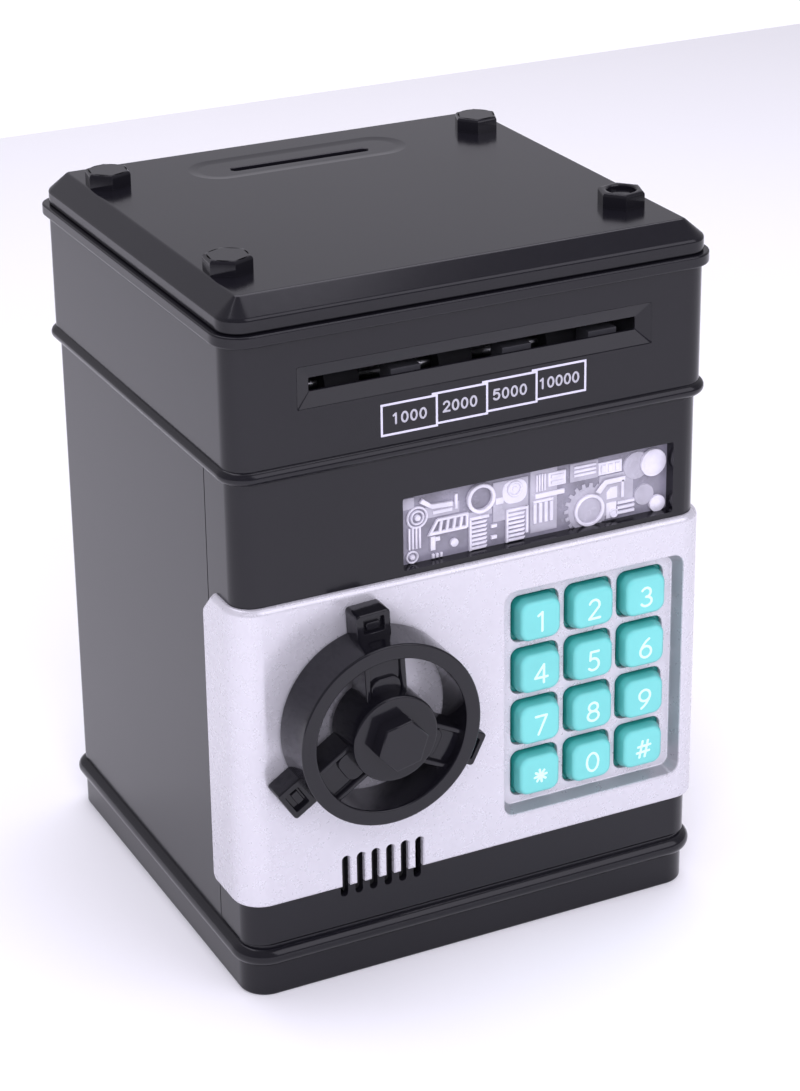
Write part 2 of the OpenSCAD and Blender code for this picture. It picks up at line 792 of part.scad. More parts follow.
module main_board() {
    color(board_green) box([-24, -49.8, 101], [58, -48.2, 128]);
    color(black) {
        box([-12, -48.3, 108], [2, -46.6, 116]);
        box([20, -48.3, 104], [27, -47, 109]);
    }
}

module window_leds() {
    color(white) for (x = [-10, 9, 28, 47]) rod_y(x, -51, -49.8, window_z, 2);
}

module keypad_mat() {
    color(rubber_grey) upright_plate(keypad_x, keypad_z, 48, 60, 1.5, mat_y, mat_y + mat_t);
}

module keypad_board() {
    color(board_green) upright_plate(keypad_x, keypad_z, 49, 61, 1, pad_board_y, pad_board_y + board_t);
}

module speaker() {
    color(charcoal) {
        rod_y(speaker_x, door_inner_y + 0.4, door_inner_y + 2, speaker_z, 11);
        rod_y(speaker_x, door_inner_y + 1.9, door_inner_y + 5, speaker_z, 7);
    }
}

module bolt_guides() {
    color(charcoal) for (x = [-56, -15]) difference() {
        box([x, door_inner_y, 57], [x + 5, lock_y + 4.5, 70]);
        box([x - 1, lock_y - lock_t / 2 - 0.3, bolt_bottom - 0.3],
            [x + 6, lock_y + lock_t / 2 + 0.3, 66.7]);
    }
}

module solenoid() {
    color(steel) difference() {
        box([plunger_x - 7, door_inner_y, 40], [plunger_x + 7, lock_y + 5, 57]);
        translate([plunger_x, lock_y, 45.6]) cylinder(h = 12, r = plunger_r + fit_gap);
    }
}

module solenoid_plunger() {
    color(steel) translate([plunger_x, lock_y, 49]) cylinder(h = 13.8, r = plunger_r);
}

// The box has a rail up each side that the cover slides in
module battery_box() {
    color(charcoal) {
        difference() {
            box([bat_x[0], bat_y[0], bat_z[0]], [bat_x[1], bat_y[1], bat_z[1]]);
            box([bat_x[0] + bat_wall, bat_y[0] + bat_wall, bat_z[0] + bat_wall],
                [bat_x[1] - bat_wall, bat_y[1] + 1, bat_z[1] - bat_wall]);
        }
        for (s = [0, 1]) translate([s == 0 ? bat_x[0] : bat_x[1], bat_y[1], bat_z[0]])
            mirror([s, 0, 0]) difference() {
                box([-bat_wall, -4, 0], [bat_wall, 3.2, bat_z[1] - bat_z[0]]);
                box([-0.1, -5, -1], [bat_wall + 1, 2.1, bat_z[1] - bat_z[0] + 1]);
            }
    }
}

module battery_contacts() {
    color(steel) for (i = [0 : 2], s = [0, 1]) {
        z = bat_z[0] + 8 + i * 15;
        x = s == 0 ? bat_x[0] + bat_wall : bat_x[1] - bat_wall - 0.5;
        box([x, -45.5, z - 5], [x + 0.5, -36, z + 5]);
    }
}

module battery_cover() {
    color(charcoal) {
        box([bat_x[0] + 0.2, bat_y[1] + 0.3, bat_z[0]], [bat_x[1] - 0.2, bat_y[1] + 1.8, bat_z[1]]);
        for (i = [0 : 3]) box([14, bat_y[1] + 1.7, 55 + i * 2], [28, bat_y[1] + 2.3, 56 + i * 2]);
    }
}

module door_back_cover() {
    color(charcoal) difference() {
        box([-57, cover_y, 17.5], [60.8, cover_y + cover_t, 135.6]);
        box([bat_x[0] - bat_wall - 0.3, cover_y - 1, bat_z[0] - 0.3],
            [bat_x[1] + bat_wall + 0.3, cover_y + 3, bat_z[1] + 0.3]);
        for (p = door_posts) rod_y(p[0], cover_y - 1, cover_y + 3, p[1], screw_hole_r + 0.15);
    }
}

module door_screws() {
    color(steel) for (p = door_posts) {
        rod_y(p[0], cover_y + cover_t, cover_y + cover_t + 1.2, p[1], screw_head_r);
        rod_y(p[0], cover_y - 8, cover_y + cover_t + 0.3, p[1], screw_r);
    }
}

module handwheel() {
    color(black) translate([wheel_x, 0, wheel_z]) {
        difference() {
            rod_y(0, rim_front, rim_rear, 0, rim_r);
            rod_y(0, rim_front - 1, rim_rear + 1, 0, rim_inner_r);
        }
        difference() {
            rod_y(0, hub_front, rim_rear - 2, 0, hub_r);
            rod_y(0, rim_front + 3, rim_rear + 1, 0, shaft_r + 0.02);
        }
        translate([0, hub_front + 0.1, 0]) rotate([90, 0, 0]) rotate(hex_turn)
            cylinder(h = hex_h + 0.1, r = hex_r, $fn = 6);
        for (i = [0 : 2]) rotate([0, -wheel_angle - 120 * i, 0]) {
            box([hub_r - 1, rim_front + 2.8, -5.4], [rim_inner_r + 1, rim_rear - 3, 5.4]);
            difference() {
                box([rim_r - 2, lug_front, -lug_w / 2], [lug_reach, rim_rear - 0.1, lug_w / 2]);
                box([rim_r + 0.9, lug_front - 1, -2.6], [lug_reach - 1.3, lug_front + 1.2, 2.6]);
            }
        }
    }
}

module wheel_shaft() {
    color(steel) rod_y(wheel_x, rim_front + 4, lock_y + 3, wheel_z, shaft_r);
}

module lock_pinion() {
    color(gear_white) translate([wheel_x, lock_y + lock_t / 2, wheel_z]) rotate([90, 0, 0]) difference() {
        linear_extrude(lock_t) gear_2d(lock_teeth, lock_module, tooth_out, tooth_in);
        translate([0, 0, -1]) cylinder(h = lock_t + 2, r = shaft_r + 0.02);
    }
}

module lock_bolt() {
    rack_pitch = PI * lock_module;
    root_z = rack_z - tooth_in * lock_module;
    color(steel) difference() {
        union() {
            box([bolt_tip, lock_y - lock_t / 2, bolt_bottom], [bolt_tail, lock_y + lock_t / 2, root_z]);
            for (k = [-2 : 3]) translate([wheel_x + rack_pitch * (k + 0.5), lock_y + lock_t / 2, rack_z])
                rotate([90, 0, 0]) linear_extrude(lock_t) polygon([
                    [-1.0, -tooth_in - 0.1], [-0.62, 0], [-0.3, tooth_out],
                    [0.3, tooth_out], [0.62, 0], [1.0, -tooth_in - 0.1]
                ]);
        }
        box([plunger_x - plunger_r - 0.7, lock_y - 3, bolt_bottom - 1],
            [plunger_x + plunger_r + bolt_travel + 0.7, lock_y + 3, bolt_bottom + 2.6]);
    }
}

// One key: a tapered cap in front of a flange
module key(column, row) {
    x = keypad_x + (column - 1) * key_pitch_x;
    z = keypad_z + (1.5 - row) * key_pitch_z;
    color(teal) translate([x, 0, z]) {
        upright_plate(0, 0, key_flange_w, key_flange_h, key_r, key_flange_y, key_flange_y + key_flange_t);
        upright_plate(0, 0, key_base_w, key_base_h, key_r, tray_floor_y - 0.6, key_flange_y + 0.1);
        hull() {
            $fn = 32;
            upright_plate(0, 0, key_base_w, key_base_h, key_r, tray_floor_y - 0.7, tray_floor_y - 0.6);
            upright_plate(0, 0, key_face_w + 0.6, key_face_h + 0.6, key_r,
                overlay_y + 0.4, overlay_y + 0.5);
            upright_plate(0, 0, key_face_w - 0.6, key_face_h - 0.6, key_r - 0.3,
                overlay_y, overlay_y + 0.1);
        }
    }
}

lid();
lid_bolts();
head_casing();
body_shell();
base_tray();
base_screws();
hinge_pins();
strike_plate();
feed_chassis();
chassis_screws();
lower_bill_guide();
upper_bill_guide();
bill_drop_guide();
bill_sensor();
coin_chute();
feed_motor();
feed_drive_shaft();
feed_drive_rollers();
feed_drive_gear();
pinch_shaft();
pinch_rollers();
feed_idler_gear();
motor_pinion();
door_panel();
door_overlay();
window_relief();
window_reflector();
main_board();
window_leds();
keypad_mat();
keypad_board();
speaker();
bolt_guides();
solenoid();
solenoid_plunger();
battery_box();
battery_contacts();
battery_cover();
door_back_cover();
door_screws();
handwheel();
wheel_shaft();
lock_pinion();
lock_bolt();
key(0, 0);  // key_1
key(1, 0);  // key_2
key(2, 0);  // key_3
key(0, 1);  // key_4
key(1, 1);  // key_5
key(2, 1);  // key_6
key(0, 2);  // key_7
key(1, 2);  // key_8
key(2, 2);  // key_9
key(0, 3);  // key_star
key(1, 3);  // key_0
key(2, 3);  // key_hash
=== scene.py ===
import json
import math
import bmesh
import bpy
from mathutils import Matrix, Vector


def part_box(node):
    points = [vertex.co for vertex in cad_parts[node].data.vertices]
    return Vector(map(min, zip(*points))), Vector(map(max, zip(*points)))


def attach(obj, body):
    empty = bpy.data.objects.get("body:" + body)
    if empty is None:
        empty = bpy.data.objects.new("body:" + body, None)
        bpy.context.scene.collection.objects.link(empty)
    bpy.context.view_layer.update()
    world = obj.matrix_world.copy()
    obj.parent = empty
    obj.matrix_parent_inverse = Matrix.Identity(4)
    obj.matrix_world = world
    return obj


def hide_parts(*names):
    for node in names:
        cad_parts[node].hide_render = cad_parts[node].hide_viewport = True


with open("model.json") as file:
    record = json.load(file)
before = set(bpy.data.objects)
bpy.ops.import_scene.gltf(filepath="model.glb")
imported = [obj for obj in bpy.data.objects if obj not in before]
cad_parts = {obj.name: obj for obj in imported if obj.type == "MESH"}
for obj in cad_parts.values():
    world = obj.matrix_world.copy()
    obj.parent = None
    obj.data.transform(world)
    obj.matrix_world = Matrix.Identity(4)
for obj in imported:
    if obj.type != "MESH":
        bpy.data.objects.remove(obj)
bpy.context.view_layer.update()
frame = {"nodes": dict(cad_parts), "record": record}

MM = 0.001
FLOOR_SIZE = 1.4
# The camera was solved from the photograph: places in mm, roll in degrees.
CAMERA_EYE = (-300.70, -626.66, 401.81)
CAMERA_TARGET = (11.468, 4.639, 120.679)
CAMERA_ROLL = -0.734
CAMERA_LENS = 95.46
CAMERA_SHIFT = (-0.0021, -0.1201)
# Places on the object, in mm.
BOLT_CENTRE = (-0.8, 1.6)
BOLT_REACH = (53, 38.4)
FOOT_X = 58.2
FOOT_Y = (-36.0, 53.0)
KEYPAD_CENTRE = (32.4, 65.6)
KEY_PITCH = (15.2, 14.45)
VENT_START = -37.6
VENT_PITCH = 4.06
VENT_Z = 28.9
WHEEL_CENTRE = (-30.9, 73.4)
WHEEL_REAR = -61.0
RIM_DEPTH = 12.8
RIM_OUTER = 23.9
RIM_INNER = 20
HUB_RADIUS = 11.2
HUB_PROUD = 1.9
HEX_RADIUS = 6.75
HEX_TURN = 12
HEX_HEIGHT = 4.3
FIRST_SPOKE = 93
LUG_HEIGHT = 6.4
nodes = frame["nodes"]
scene = bpy.context.scene
scene.view_settings.view_transform = "Standard"


# ---------------------------------------------------------------- camera
def place_camera():
    data = bpy.data.cameras.new("Camera")
    data.sensor_width = 36
    data.lens = CAMERA_LENS
    data.shift_x, data.shift_y = CAMERA_SHIFT
    cam = bpy.data.objects.new("Camera", data)
    eye = Vector(CAMERA_EYE) * MM
    target = Vector(CAMERA_TARGET) * MM
    forward = (target - eye).normalized()
    right = forward.cross(Vector((0, 0, 1))).normalized()
    up = right.cross(forward)
    roll = math.radians(CAMERA_ROLL)
    side = right * math.cos(roll) + up * math.sin(roll)
    top = up * math.cos(roll) - right * math.sin(roll)
    matrix = cam.matrix_world.copy()
    for i in range(3):
        matrix[i][0] = side[i]
        matrix[i][1] = top[i]
        matrix[i][2] = -forward[i]
        matrix[i][3] = eye[i]
    cam.matrix_world = matrix
    data.clip_start = 0.05
    data.clip_end = 10
    scene.collection.objects.link(cam)
    scene.camera = cam


place_camera()


# ---------------------------------------------------------------- lights and floor
def area_light(name, place, aim, size, power, in_reflections):
    data = bpy.data.lights.new(name, "AREA")
    data.shape = "RECTANGLE"
    data.size, data.size_y = size
    data.energy = power
    data.color = (0.97, 0.94, 1.06)
    light = bpy.data.objects.new(name, data)
    light.location = place
    light.rotation_mode = "QUATERNION"
    light.rotation_quaternion = (Vector(aim) - Vector(place)).to_track_quat("-Z", "Y")
    light.visible_glossy = in_reflections
    scene.collection.objects.link(light)


def along(tree, vector, direction):
    """How far a vector reaches in a direction."""
    dot = tree.nodes.new("ShaderNodeVectorMath")
    dot.operation = "DOT_PRODUCT"
    dot.inputs[1].default_value = direction
    tree.links.new(vector, dot.inputs[0])
    return dot.outputs["Value"]


def build_world():
    """White behind the object, and a soft room around it that is a little brighter at the back."""
    world = bpy.data.worlds.new("Studio")
    scene.world = world
    world.use_nodes = True
    tree = world.node_tree
    background = tree.nodes["Background"]
    seen = tree.nodes.new("ShaderNodeLightPath").outputs["Is Camera Ray"]
    heading = tree.nodes.new("ShaderNodeTexCoord").outputs["Generated"]
    room = remap(tree, along(tree, heading, (0, 1, 0)), -0.5, 0.8, 0.3, 0.6)
    strength = tree.nodes.new("ShaderNodeMix")
    tree.links.new(seen, strength.inputs[0])
    tree.links.new(room, strength.inputs[2])
    strength.inputs[3].default_value = 1.1
    tree.links.new(strength.outputs[0], background.inputs["Strength"])
    background.inputs["Color"].default_value = (0.98, 0.955, 1.05, 1)


def build_floor():
    """A plain pale floor."""
    bpy.ops.mesh.primitive_plane_add(size=FLOOR_SIZE, location=(0, 0, 0))
    floor = bpy.context.object
    floor.name = "Floor"
    m, shader, links = new_material("Floor", (0.92, 0.92, 0.93), 0.8)
    tree = m.node_tree
    coords = tree.nodes.new("ShaderNodeTexCoord").outputs["Object"]
    links.new(mix_colours(tree, noise(tree, coords, 3), (0.93, 0.93, 0.94), (0.91, 0.91, 0.92)),
              shader.inputs["Base Color"])
    shader.inputs["Specular IOR Level"].default_value = 0.1
    floor.data.materials.append(m)


def build_studio():
    area_light("Top softbox", (0.1, 0.25, 1.15), (0, 0, 0.1), (1.1, 0.9), 8, True)
    area_light("Front softbox", (-0.5, -1.1, 0.85), (0, 0, 0.08), (0.9, 0.8), 14, False)
    area_light("Right softbox", (0.54, -0.9, 0.75), (0, 0, 0.1), (0.9, 1.0), 5, True)
    area_light("Left softbox", (-1.2, -0.25, 0.55), (0, 0, 0.1), (0.7, 0.9), 3, False)
    build_world()
    build_floor()


# ---------------------------------------------------------------- materials
def new_material(name, colour, rough):
    m = bpy.data.materials.new(name)
    m.use_nodes = True
    shader = m.node_tree.nodes["Principled BSDF"]
    shader.inputs["Base Color"].default_value = (*colour, 1)
    shader.inputs["Roughness"].default_value = rough
    return m, shader, m.node_tree.links


def noise(tree, coords, scale, detail=2.0, rough=0.5):
    n = tree.nodes.new("ShaderNodeTexNoise")
    n.inputs["Scale"].default_value = scale
    n.inputs["Detail"].default_value = detail
    n.inputs["Roughness"].default_value = rough
    tree.links.new(coords, n.inputs["Vector"])
    return n.outputs["Fac"]


def remap(tree, value, lo, hi, to_lo, to_hi):
    n = tree.nodes.new("ShaderNodeMapRange")
    n.inputs["From Min"].default_value = lo
    n.inputs["From Max"].default_value = hi
    n.inputs["To Min"].default_value = to_lo
    n.inputs["To Max"].default_value = to_hi
    tree.links.new(value, n.inputs["Value"])
    return n.outputs["Result"]


def mix_colours(tree, factor, a, b):
    n = tree.nodes.new("ShaderNodeMix")
    n.data_type = "RGBA"
    for socket, value in ((n.inputs[6], a), (n.inputs[7], b)):
        if isinstance(value, tuple):
            socket.default_value = (*value, 1)
        else:
            tree.links.new(value, socket)
    tree.links.new(factor, n.inputs[0])
    return n.outputs[2]


def surface(name, colour, rough, vary=0.12, rough_vary=0.05, grain=0.25, grain_mm=0.25,
            mottle_mm=18.0, metallic=0.0, coat=0.0, wear_and_edge_highlight=0.0, wear_and_highlight_mm=0.5, specular=0.5,
            stretch=(1, 1, 1), subsurface=0.0, painted_hollow_shade=None):
    """A moulded, cast or rolled surface: mottled colour, uneven gloss, a fine grain, paler edges that are
    partly wear and partly a painted highlight.

    The last argument is (near, far, shade): painted shade, the colour darkens towards shade between two
    distances along Y, as deep inside a hollow.
    """
    m, shader, links = new_material(name, colour, rough)
    tree = m.node_tree
    coords = tree.nodes.new("ShaderNodeTexCoord").outputs["Object"]
    scaled = tree.nodes.new("ShaderNodeMapping")
    scaled.inputs["Scale"].default_value = stretch
    links.new(coords, scaled.inputs["Vector"])
    vector = scaled.outputs["Vector"]
    mottle = noise(tree, coords, 1 / (mottle_mm * MM), 4.0, 0.55)
    dark = tuple(c * (1 - vary) for c in colour)
    light = tuple(min(1.0, c * (1 + vary)) for c in colour)
    tint = mix_colours(tree, remap(tree, mottle, 0.3, 0.7, 0, 1), dark, light)
    # Paler edges found with the Bevel node: partly rubbed wear, partly a painted highlight along the rounded
    # edges.
    if wear_and_edge_highlight:
        bevel = tree.nodes.new("ShaderNodeBevel")
        bevel.samples = 4
        bevel.inputs["Radius"].default_value = wear_and_highlight_mm * MM
        geometry = tree.nodes.new("ShaderNodeNewGeometry")
        dot = tree.nodes.new("ShaderNodeVectorMath")
        dot.operation = "DOT_PRODUCT"
        links.new(bevel.outputs["Normal"], dot.inputs[0])
        links.new(geometry.outputs["Normal"], dot.inputs[1])
        edge = remap(tree, dot.outputs["Value"], 0.80, 0.995, wear_and_edge_highlight, 0)
        patches = remap(tree, noise(tree, coords, 260, 3.0), 0.35, 0.65, 0.2, 1)
        times = tree.nodes.new("ShaderNodeMath")
        times.operation = "MULTIPLY"
        links.new(edge, times.inputs[0])
        links.new(patches, times.inputs[1])
        pale = tuple(min(1.0, c * 1.6 + 0.05) for c in colour)
        tint = mix_colours(tree, times.outputs["Value"], tint, pale)
    # Painted shade: the colour darkens with depth along Y, as inside a hollow.
    if painted_hollow_shade:
        near, far, shade = painted_hollow_shade
        depth = remap(tree, along(tree, coords, (0, 1, 0)), near * MM, far * MM, 0, 1)
        tint = mix_colours(tree, depth, tint, shade)
    links.new(tint, shader.inputs["Base Color"])
    fine = noise(tree, vector, 1 / (2.6 * MM), 5.0, 0.6)
    links.new(remap(tree, fine, 0.25, 0.75, rough - rough_vary, rough + rough_vary),
              shader.inputs["Roughness"])
    if grain:
        bump = tree.nodes.new("ShaderNodeBump")
        bump.inputs["Strength"].default_value = grain
        bump.inputs["Distance"].default_value = 0.02 * MM
        links.new(noise(tree, vector, 1 / (grain_mm * MM), 3.0, 0.6), bump.inputs["Height"])
        links.new(bump.outputs["Normal"], shader.inputs["Normal"])
    shader.inputs["Metallic"].default_value = metallic
    shader.inputs["Coat Weight"].default_value = coat
    shader.inputs["Coat Roughness"].default_value = 0.12
    shader.inputs["Specular IOR Level"].default_value = specular
    shader.inputs["Subsurface Weight"].default_value = subsurface
    shader.inputs["Subsurface Scale"].default_value = 1.5 * MM
    return m


black = surface("Charcoal plastic", (0.0066, 0.0062, 0.0088), 0.16, vary=0.08, rough_vary=0.02, wear_and_edge_highlight=0.12,
                grain=0.06, mottle_mm=40, specular=0.33)
gloss = surface("Glossy black plastic", (0.0062, 0.0058, 0.0084), 0.14, vary=0.08, rough_vary=0.02, wear_and_edge_highlight=0.1,
                grain=0.04, specular=0.36)
silver = surface("Silver paint", (0.60, 0.59, 0.635), 0.28, vary=0.012, rough_vary=0.03, metallic=0.36,
                 grain=0, mottle_mm=25)
# A darker copy of the silver paint for the keypad recess walls: painted shade.
silver_wall_painted_shade = surface("Silver paint darkened as painted shade on recess walls", (0.36, 0.36, 0.39), 0.3, vary=0.04, metallic=0.4,
                      grain=0.04, grain_mm=0.3, mottle_mm=12)
# The key caps darken along their sides towards the back of their holes: painted shade.
teal = surface("Teal plastic", (0.22, 0.71, 0.69), 0.34, vary=0.04, grain=0.05,
               painted_hollow_shade=(-61.3, -57.4, (0.02, 0.28, 0.25)))
sign_print = surface("Key sign print", (0.62, 0.93, 0.86), 0.5, vary=0.02, grain=0.1, grain_mm=0.1)
line_print = surface("Pale line print", (0.60, 0.59, 0.70), 0.5, vary=0.03, grain=0.1, grain_mm=0.1)
grey_print = surface("Grey print", (0.43, 0.425, 0.48), 0.5, vary=0.03, grain=0.1, grain_mm=0.1)
relief_base = surface("Relief ground", (0.21, 0.20, 0.25), 0.25, vary=0.3, mottle_mm=7, grain=0.1, coat=0.4)
relief_low = surface("Relief low steps", (0.40, 0.385, 0.45), 0.25, vary=0.12, mottle_mm=5, grain=0.08,
                     coat=0.4)
relief_top = surface("Relief raised", (0.68, 0.66, 0.74), 0.25, vary=0.1, mottle_mm=5, grain=0.08, coat=0.4)
inner = surface("Inner plastic", (0.035, 0.035, 0.04), 0.5, grain=0.4)
steel = surface("Zinc-plated steel", (0.58, 0.58, 0.60), 0.3, metallic=1.0, grain=0.3,
                stretch=(1, 1, 8), wear_and_edge_highlight=0.2)
nylon = surface("Natural nylon", (0.78, 0.75, 0.66), 0.45, grain=0.3, subsurface=0.2)
rubber = surface("Grey rubber", (0.016, 0.016, 0.018), 0.75, grain=0.8, grain_mm=0.4, specular=0.3)
board = surface("Green circuit board", (0.02, 0.13, 0.05), 0.3, grain=0.4, grain_mm=0.6, coat=0.3)
lens = surface("Lamp lens", (0.9, 0.9, 0.95), 0.15, vary=0.02, grain=0.0, coat=0.5)
cone = surface("Speaker cone", (0.03, 0.03, 0.03), 0.7, grain=0.8, grain_mm=0.5)

slot_materials = {
    "casing": black, "silver_plastic": silver, "key_plastic": teal, "relief_plastic": relief_top,
    "inner_plastic": inner, "steel": steel, "gear_plastic": nylon, "rubber": rubber,
    "circuit_board": board, "led_lens": lens, "speaker_cone": cone,
}


# ---------------------------------------------------------------- mesh tools, all in millimetres
class Shape:
    """Collects closed shells and turns them into one object."""

    def __init__(self):
        self.points = []
        self.faces = []

    def add(self, points, faces):
        start = len(self.points)
        self.points += points
        self.faces += [tuple(start + i for i in face) for face in faces]

    def loft(self, rings, closed=False):
        """Skins rings of equal length; the ends are capped unless the last ring joins the first."""
        n = len(rings[0])
        count = len(rings)
        faces = []
        for a in range(count if closed else count - 1):
            b = (a + 1) % count
            for i in range(n):
                j = (i + 1) % n
                faces.append((a * n + i, a * n + j, b * n + j, b * n + i))
        if not closed:
            faces.append(tuple(range(n))[::-1])
            faces.append(tuple(range((count - 1) * n, count * n)))
        self.add([p for ring in rings for p in ring], faces)

    def finish(self, name, body, material, sharp=32):
        mesh = bpy.data.meshes.new(name)
        mesh.from_pydata([tuple(c * MM for c in p) for p in self.points], [], self.faces)
        work = bmesh.new()
        work.from_mesh(mesh)
        bmesh.ops.remove_doubles(work, verts=work.verts, dist=1e-7)
        bmesh.ops.recalc_face_normals(work, faces=work.faces)
        work.to_mesh(mesh)
        work.free()
        mesh.polygons.foreach_set("use_smooth", [True] * len(mesh.polygons))
        mesh.set_sharp_from_angle(angle=math.radians(sharp))
        mesh.materials.append(material)
        obj = bpy.data.objects.new(name, mesh)
        scene.collection.objects.link(obj)
        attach(obj, body)
        return obj


def arc(cx, cz, rx, rz, start, stop, n=12):
    angles = [math.radians(start + (stop - start) * i / n) for i in range(n + 1)]
    return [(cx + rx * math.cos(a), cz + rz * math.sin(a)) for a in angles]


def round_rect(cx, cz, w, h, r, n=6):
    r = min(r, w / 2 - 0.001, h / 2 - 0.001)
    pts = []
    for sx, sz, a in ((1, 1, 0), (-1, 1, 90), (-1, -1, 180), (1, -1, 270)):
        pts += arc(cx + sx * (w / 2 - r), cz + sz * (h / 2 - r), r, r, a, a + 90, n)
    return pts


def at_y(pts, y):
    return [(x, y, z) for x, z in pts]


def inset(poly, d):
    """Moves each side of an anticlockwise polygon inwards by d."""
    out = []
    n = len(poly)
    for i in range(n):
        (ax, az), (bx, bz), (cx, cz) = poly[i - 1], poly[i], poly[(i + 1) % n]
        ux, uz = bx - ax, bz - az
        vx, vz = cx - bx, cz - bz
        lu, lv = math.hypot(ux, uz) or 1, math.hypot(vx, vz) or 1
        nx, nz = -uz / lu - vz / lv, ux / lu + vx / lv
        k = 2 / max(0.2, nx * nx + nz * nz)
        out.append((bx + nx * k * d, bz + nz * k * d))
    return out


def raised(shape, poly, back, front, bevel=0.25, steps=3):
    """A flat block with that outline, its front edge rounded."""
    rings = [at_y(poly, back), at_y(poly, front + bevel)]
    for i in range(1, steps + 1):
        a = math.radians(90 * i / steps)
        rings.append(at_y(inset(poly, bevel * (1 - math.cos(a))), front + bevel * (1 - math.sin(a))))
    rings.append(at_y(inset(poly, bevel * 1.1 + 0.02), front))
    shape.loft(rings)


def turned(shape, cx, cz, profile, n=48, closed=False):
    """Turns (radius, y) points about an axis along Y."""
    rings = []
    for r, y in profile:
        rings.append(at_y(arc(cx, cz, r, r, 0, 360 - 360 / n, n - 1), y))
    shape.loft(rings, closed)


def ribbon(shape, pts, width, back, front, closed=False):
    """A raised printed line along pts, with rounded ends."""
    n = len(pts)
    sides = []
    for i in range(n):
        a = pts[i - 1] if i or closed else pts[0]
        b = pts[(i + 1) % n] if i < n - 1 or closed else pts[-1]
        dx, dz = b[0] - a[0], b[1] - a[1]
        length = math.hypot(dx, dz) or 1
        sides.append((-dz / length * width / 2, dx / length * width / 2))
    rings = []
    for (x, z), (sx, sz) in zip(pts, sides):
        rings.append([(x + sx, back, z + sz), (x + sx * 0.85, front, z + sz * 0.85),
                      (x - sx * 0.85, front, z - sz * 0.85), (x - sx, back, z - sz)])
    shape.loft(rings, closed)
    if not closed:
        for x, z in (pts[0], pts[-1]):
            shape.loft([at_y(arc(x, z, r, r, 0, 337.5, 15), y)
                        for r, y in ((width / 2, back), (width / 2 * 0.85, front + 0.002))])


def rotated(pts, angle, cx=0.0, cz=0.0):
    c, s = math.cos(math.radians(angle)), math.sin(math.radians(angle))
    return [(cx + x * c - z * s, cz + x * s + z * c) for x, z in pts]


# ---------------------------------------------------------------- CAD nodes
def soften(obj, width=0.3, segments=2, angle=28):
    """Rounds the machined-sharp edges of a CAD node a little, as a mould does."""
    weld = obj.modifiers.new("Weld", "WELD")
    weld.merge_threshold = 0.002 * MM
    flat = obj.modifiers.new("Flat", "DECIMATE")
    flat.decimate_type = "DISSOLVE"
    flat.angle_limit = math.radians(0.6)
    bevel = obj.modifiers.new("Bevel", "BEVEL")
    bevel.width = width * MM
    bevel.segments = segments
    bevel.limit_method = "ANGLE"
    bevel.angle_limit = math.radians(angle)
    bevel.harden_normals = False
    normals = obj.modifiers.new("Normals", "WEIGHTED_NORMAL")
    normals.keep_sharp = False


def dress_nodes():
    for part in frame["record"]["subparts"]:
        obj = nodes[part["node"]]
        obj.data.materials.clear()
        obj.data.materials.append(slot_materials[part["material_slot"]])


dress_nodes()
for name in ("body_shell", "door_panel"):
    soften(nodes[name])


def node_mm(name):
    lo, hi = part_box(name)
    return [c / MM for c in lo], [c / MM for c in hi]


# ---------------------------------------------------------------- keys
def glyphs():
    """Each key's sign as (points, closed) lines in millimetres about the key's centre."""
    rays = [([(1.75 * math.cos(a), 1.75 * math.sin(a)), (-1.75 * math.cos(a), -1.75 * math.sin(a))], False)
            for a in (math.radians(45 * i + 10) for i in range(4))]
    six = [([(0.95, 2.6), (0.15, 2.05), (-0.6, 1.25), (-1.2, 0.35), (-1.58, -0.5)]
            + arc(0, -1.0, 1.62, 1.6, 165, 180, 2), False), (arc(0, -1.0, 1.62, 1.6, 0, 345, 23), True)]
    nine = [([(-x, -z) for x, z in pts], closed) for pts, closed in six]
    hashed = [([(-0.35, 2.3), (-1.25, -2.3)], False), ([(1.25, 2.3), (0.35, -2.3)], False),
              ([(-1.7, 0.75), (2.0, 0.95)], False), ([(-2.0, -0.95), (1.7, -0.75)], False)]
    return {
        "key_1": [([(-0.95, 1.75), (0.2, 2.6)], False), ([(0.2, 2.6), (0.2, -2.6)], False)],
        "key_2": [(arc(-0.05, 1.15, 1.45, 1.45, 160, -30, 14) + [(-1.6, -2.6)], False),
                  ([(-1.6, -2.6), (1.6, -2.6)], False)],
        "key_3": [(arc(-0.2, 1.32, 1.35, 1.28, 150, -90, 14), False),
                  (arc(-0.15, -1.22, 1.6, 1.3, 92, -150, 16), False)],
        "key_4": [([(0.75, -2.6), (0.75, 2.5)], False), ([(0.75, 2.5), (-1.8, -1.05)], False),
                  ([(-1.8, -1.05), (1.8, -1.05)], False)],
        "key_5": [([(1.35, 2.6), (-0.95, 2.6)], False), ([(-0.95, 2.6), (-1.1, 0.3)], False),
                  (arc(-0.2, -0.95, 1.65, 1.65, 123, -140, 18), False)],
        "key_6": six,
        "key_7": [([(-1.55, 2.6), (1.65, 2.6)], False), ([(1.65, 2.6), (-0.7, -2.6)], False)],
        "key_8": [(arc(0, 1.38, 1.32, 1.22, 0, 345, 23), True), (arc(0, -1.2, 1.62, 1.4, 0, 345, 23), True)],
        "key_9": nine,
        "key_star": rays,
        "key_0": [(arc(0, 0, 1.7, 2.6, 0, 345, 31), True)],
        "key_hash": hashed,
    }


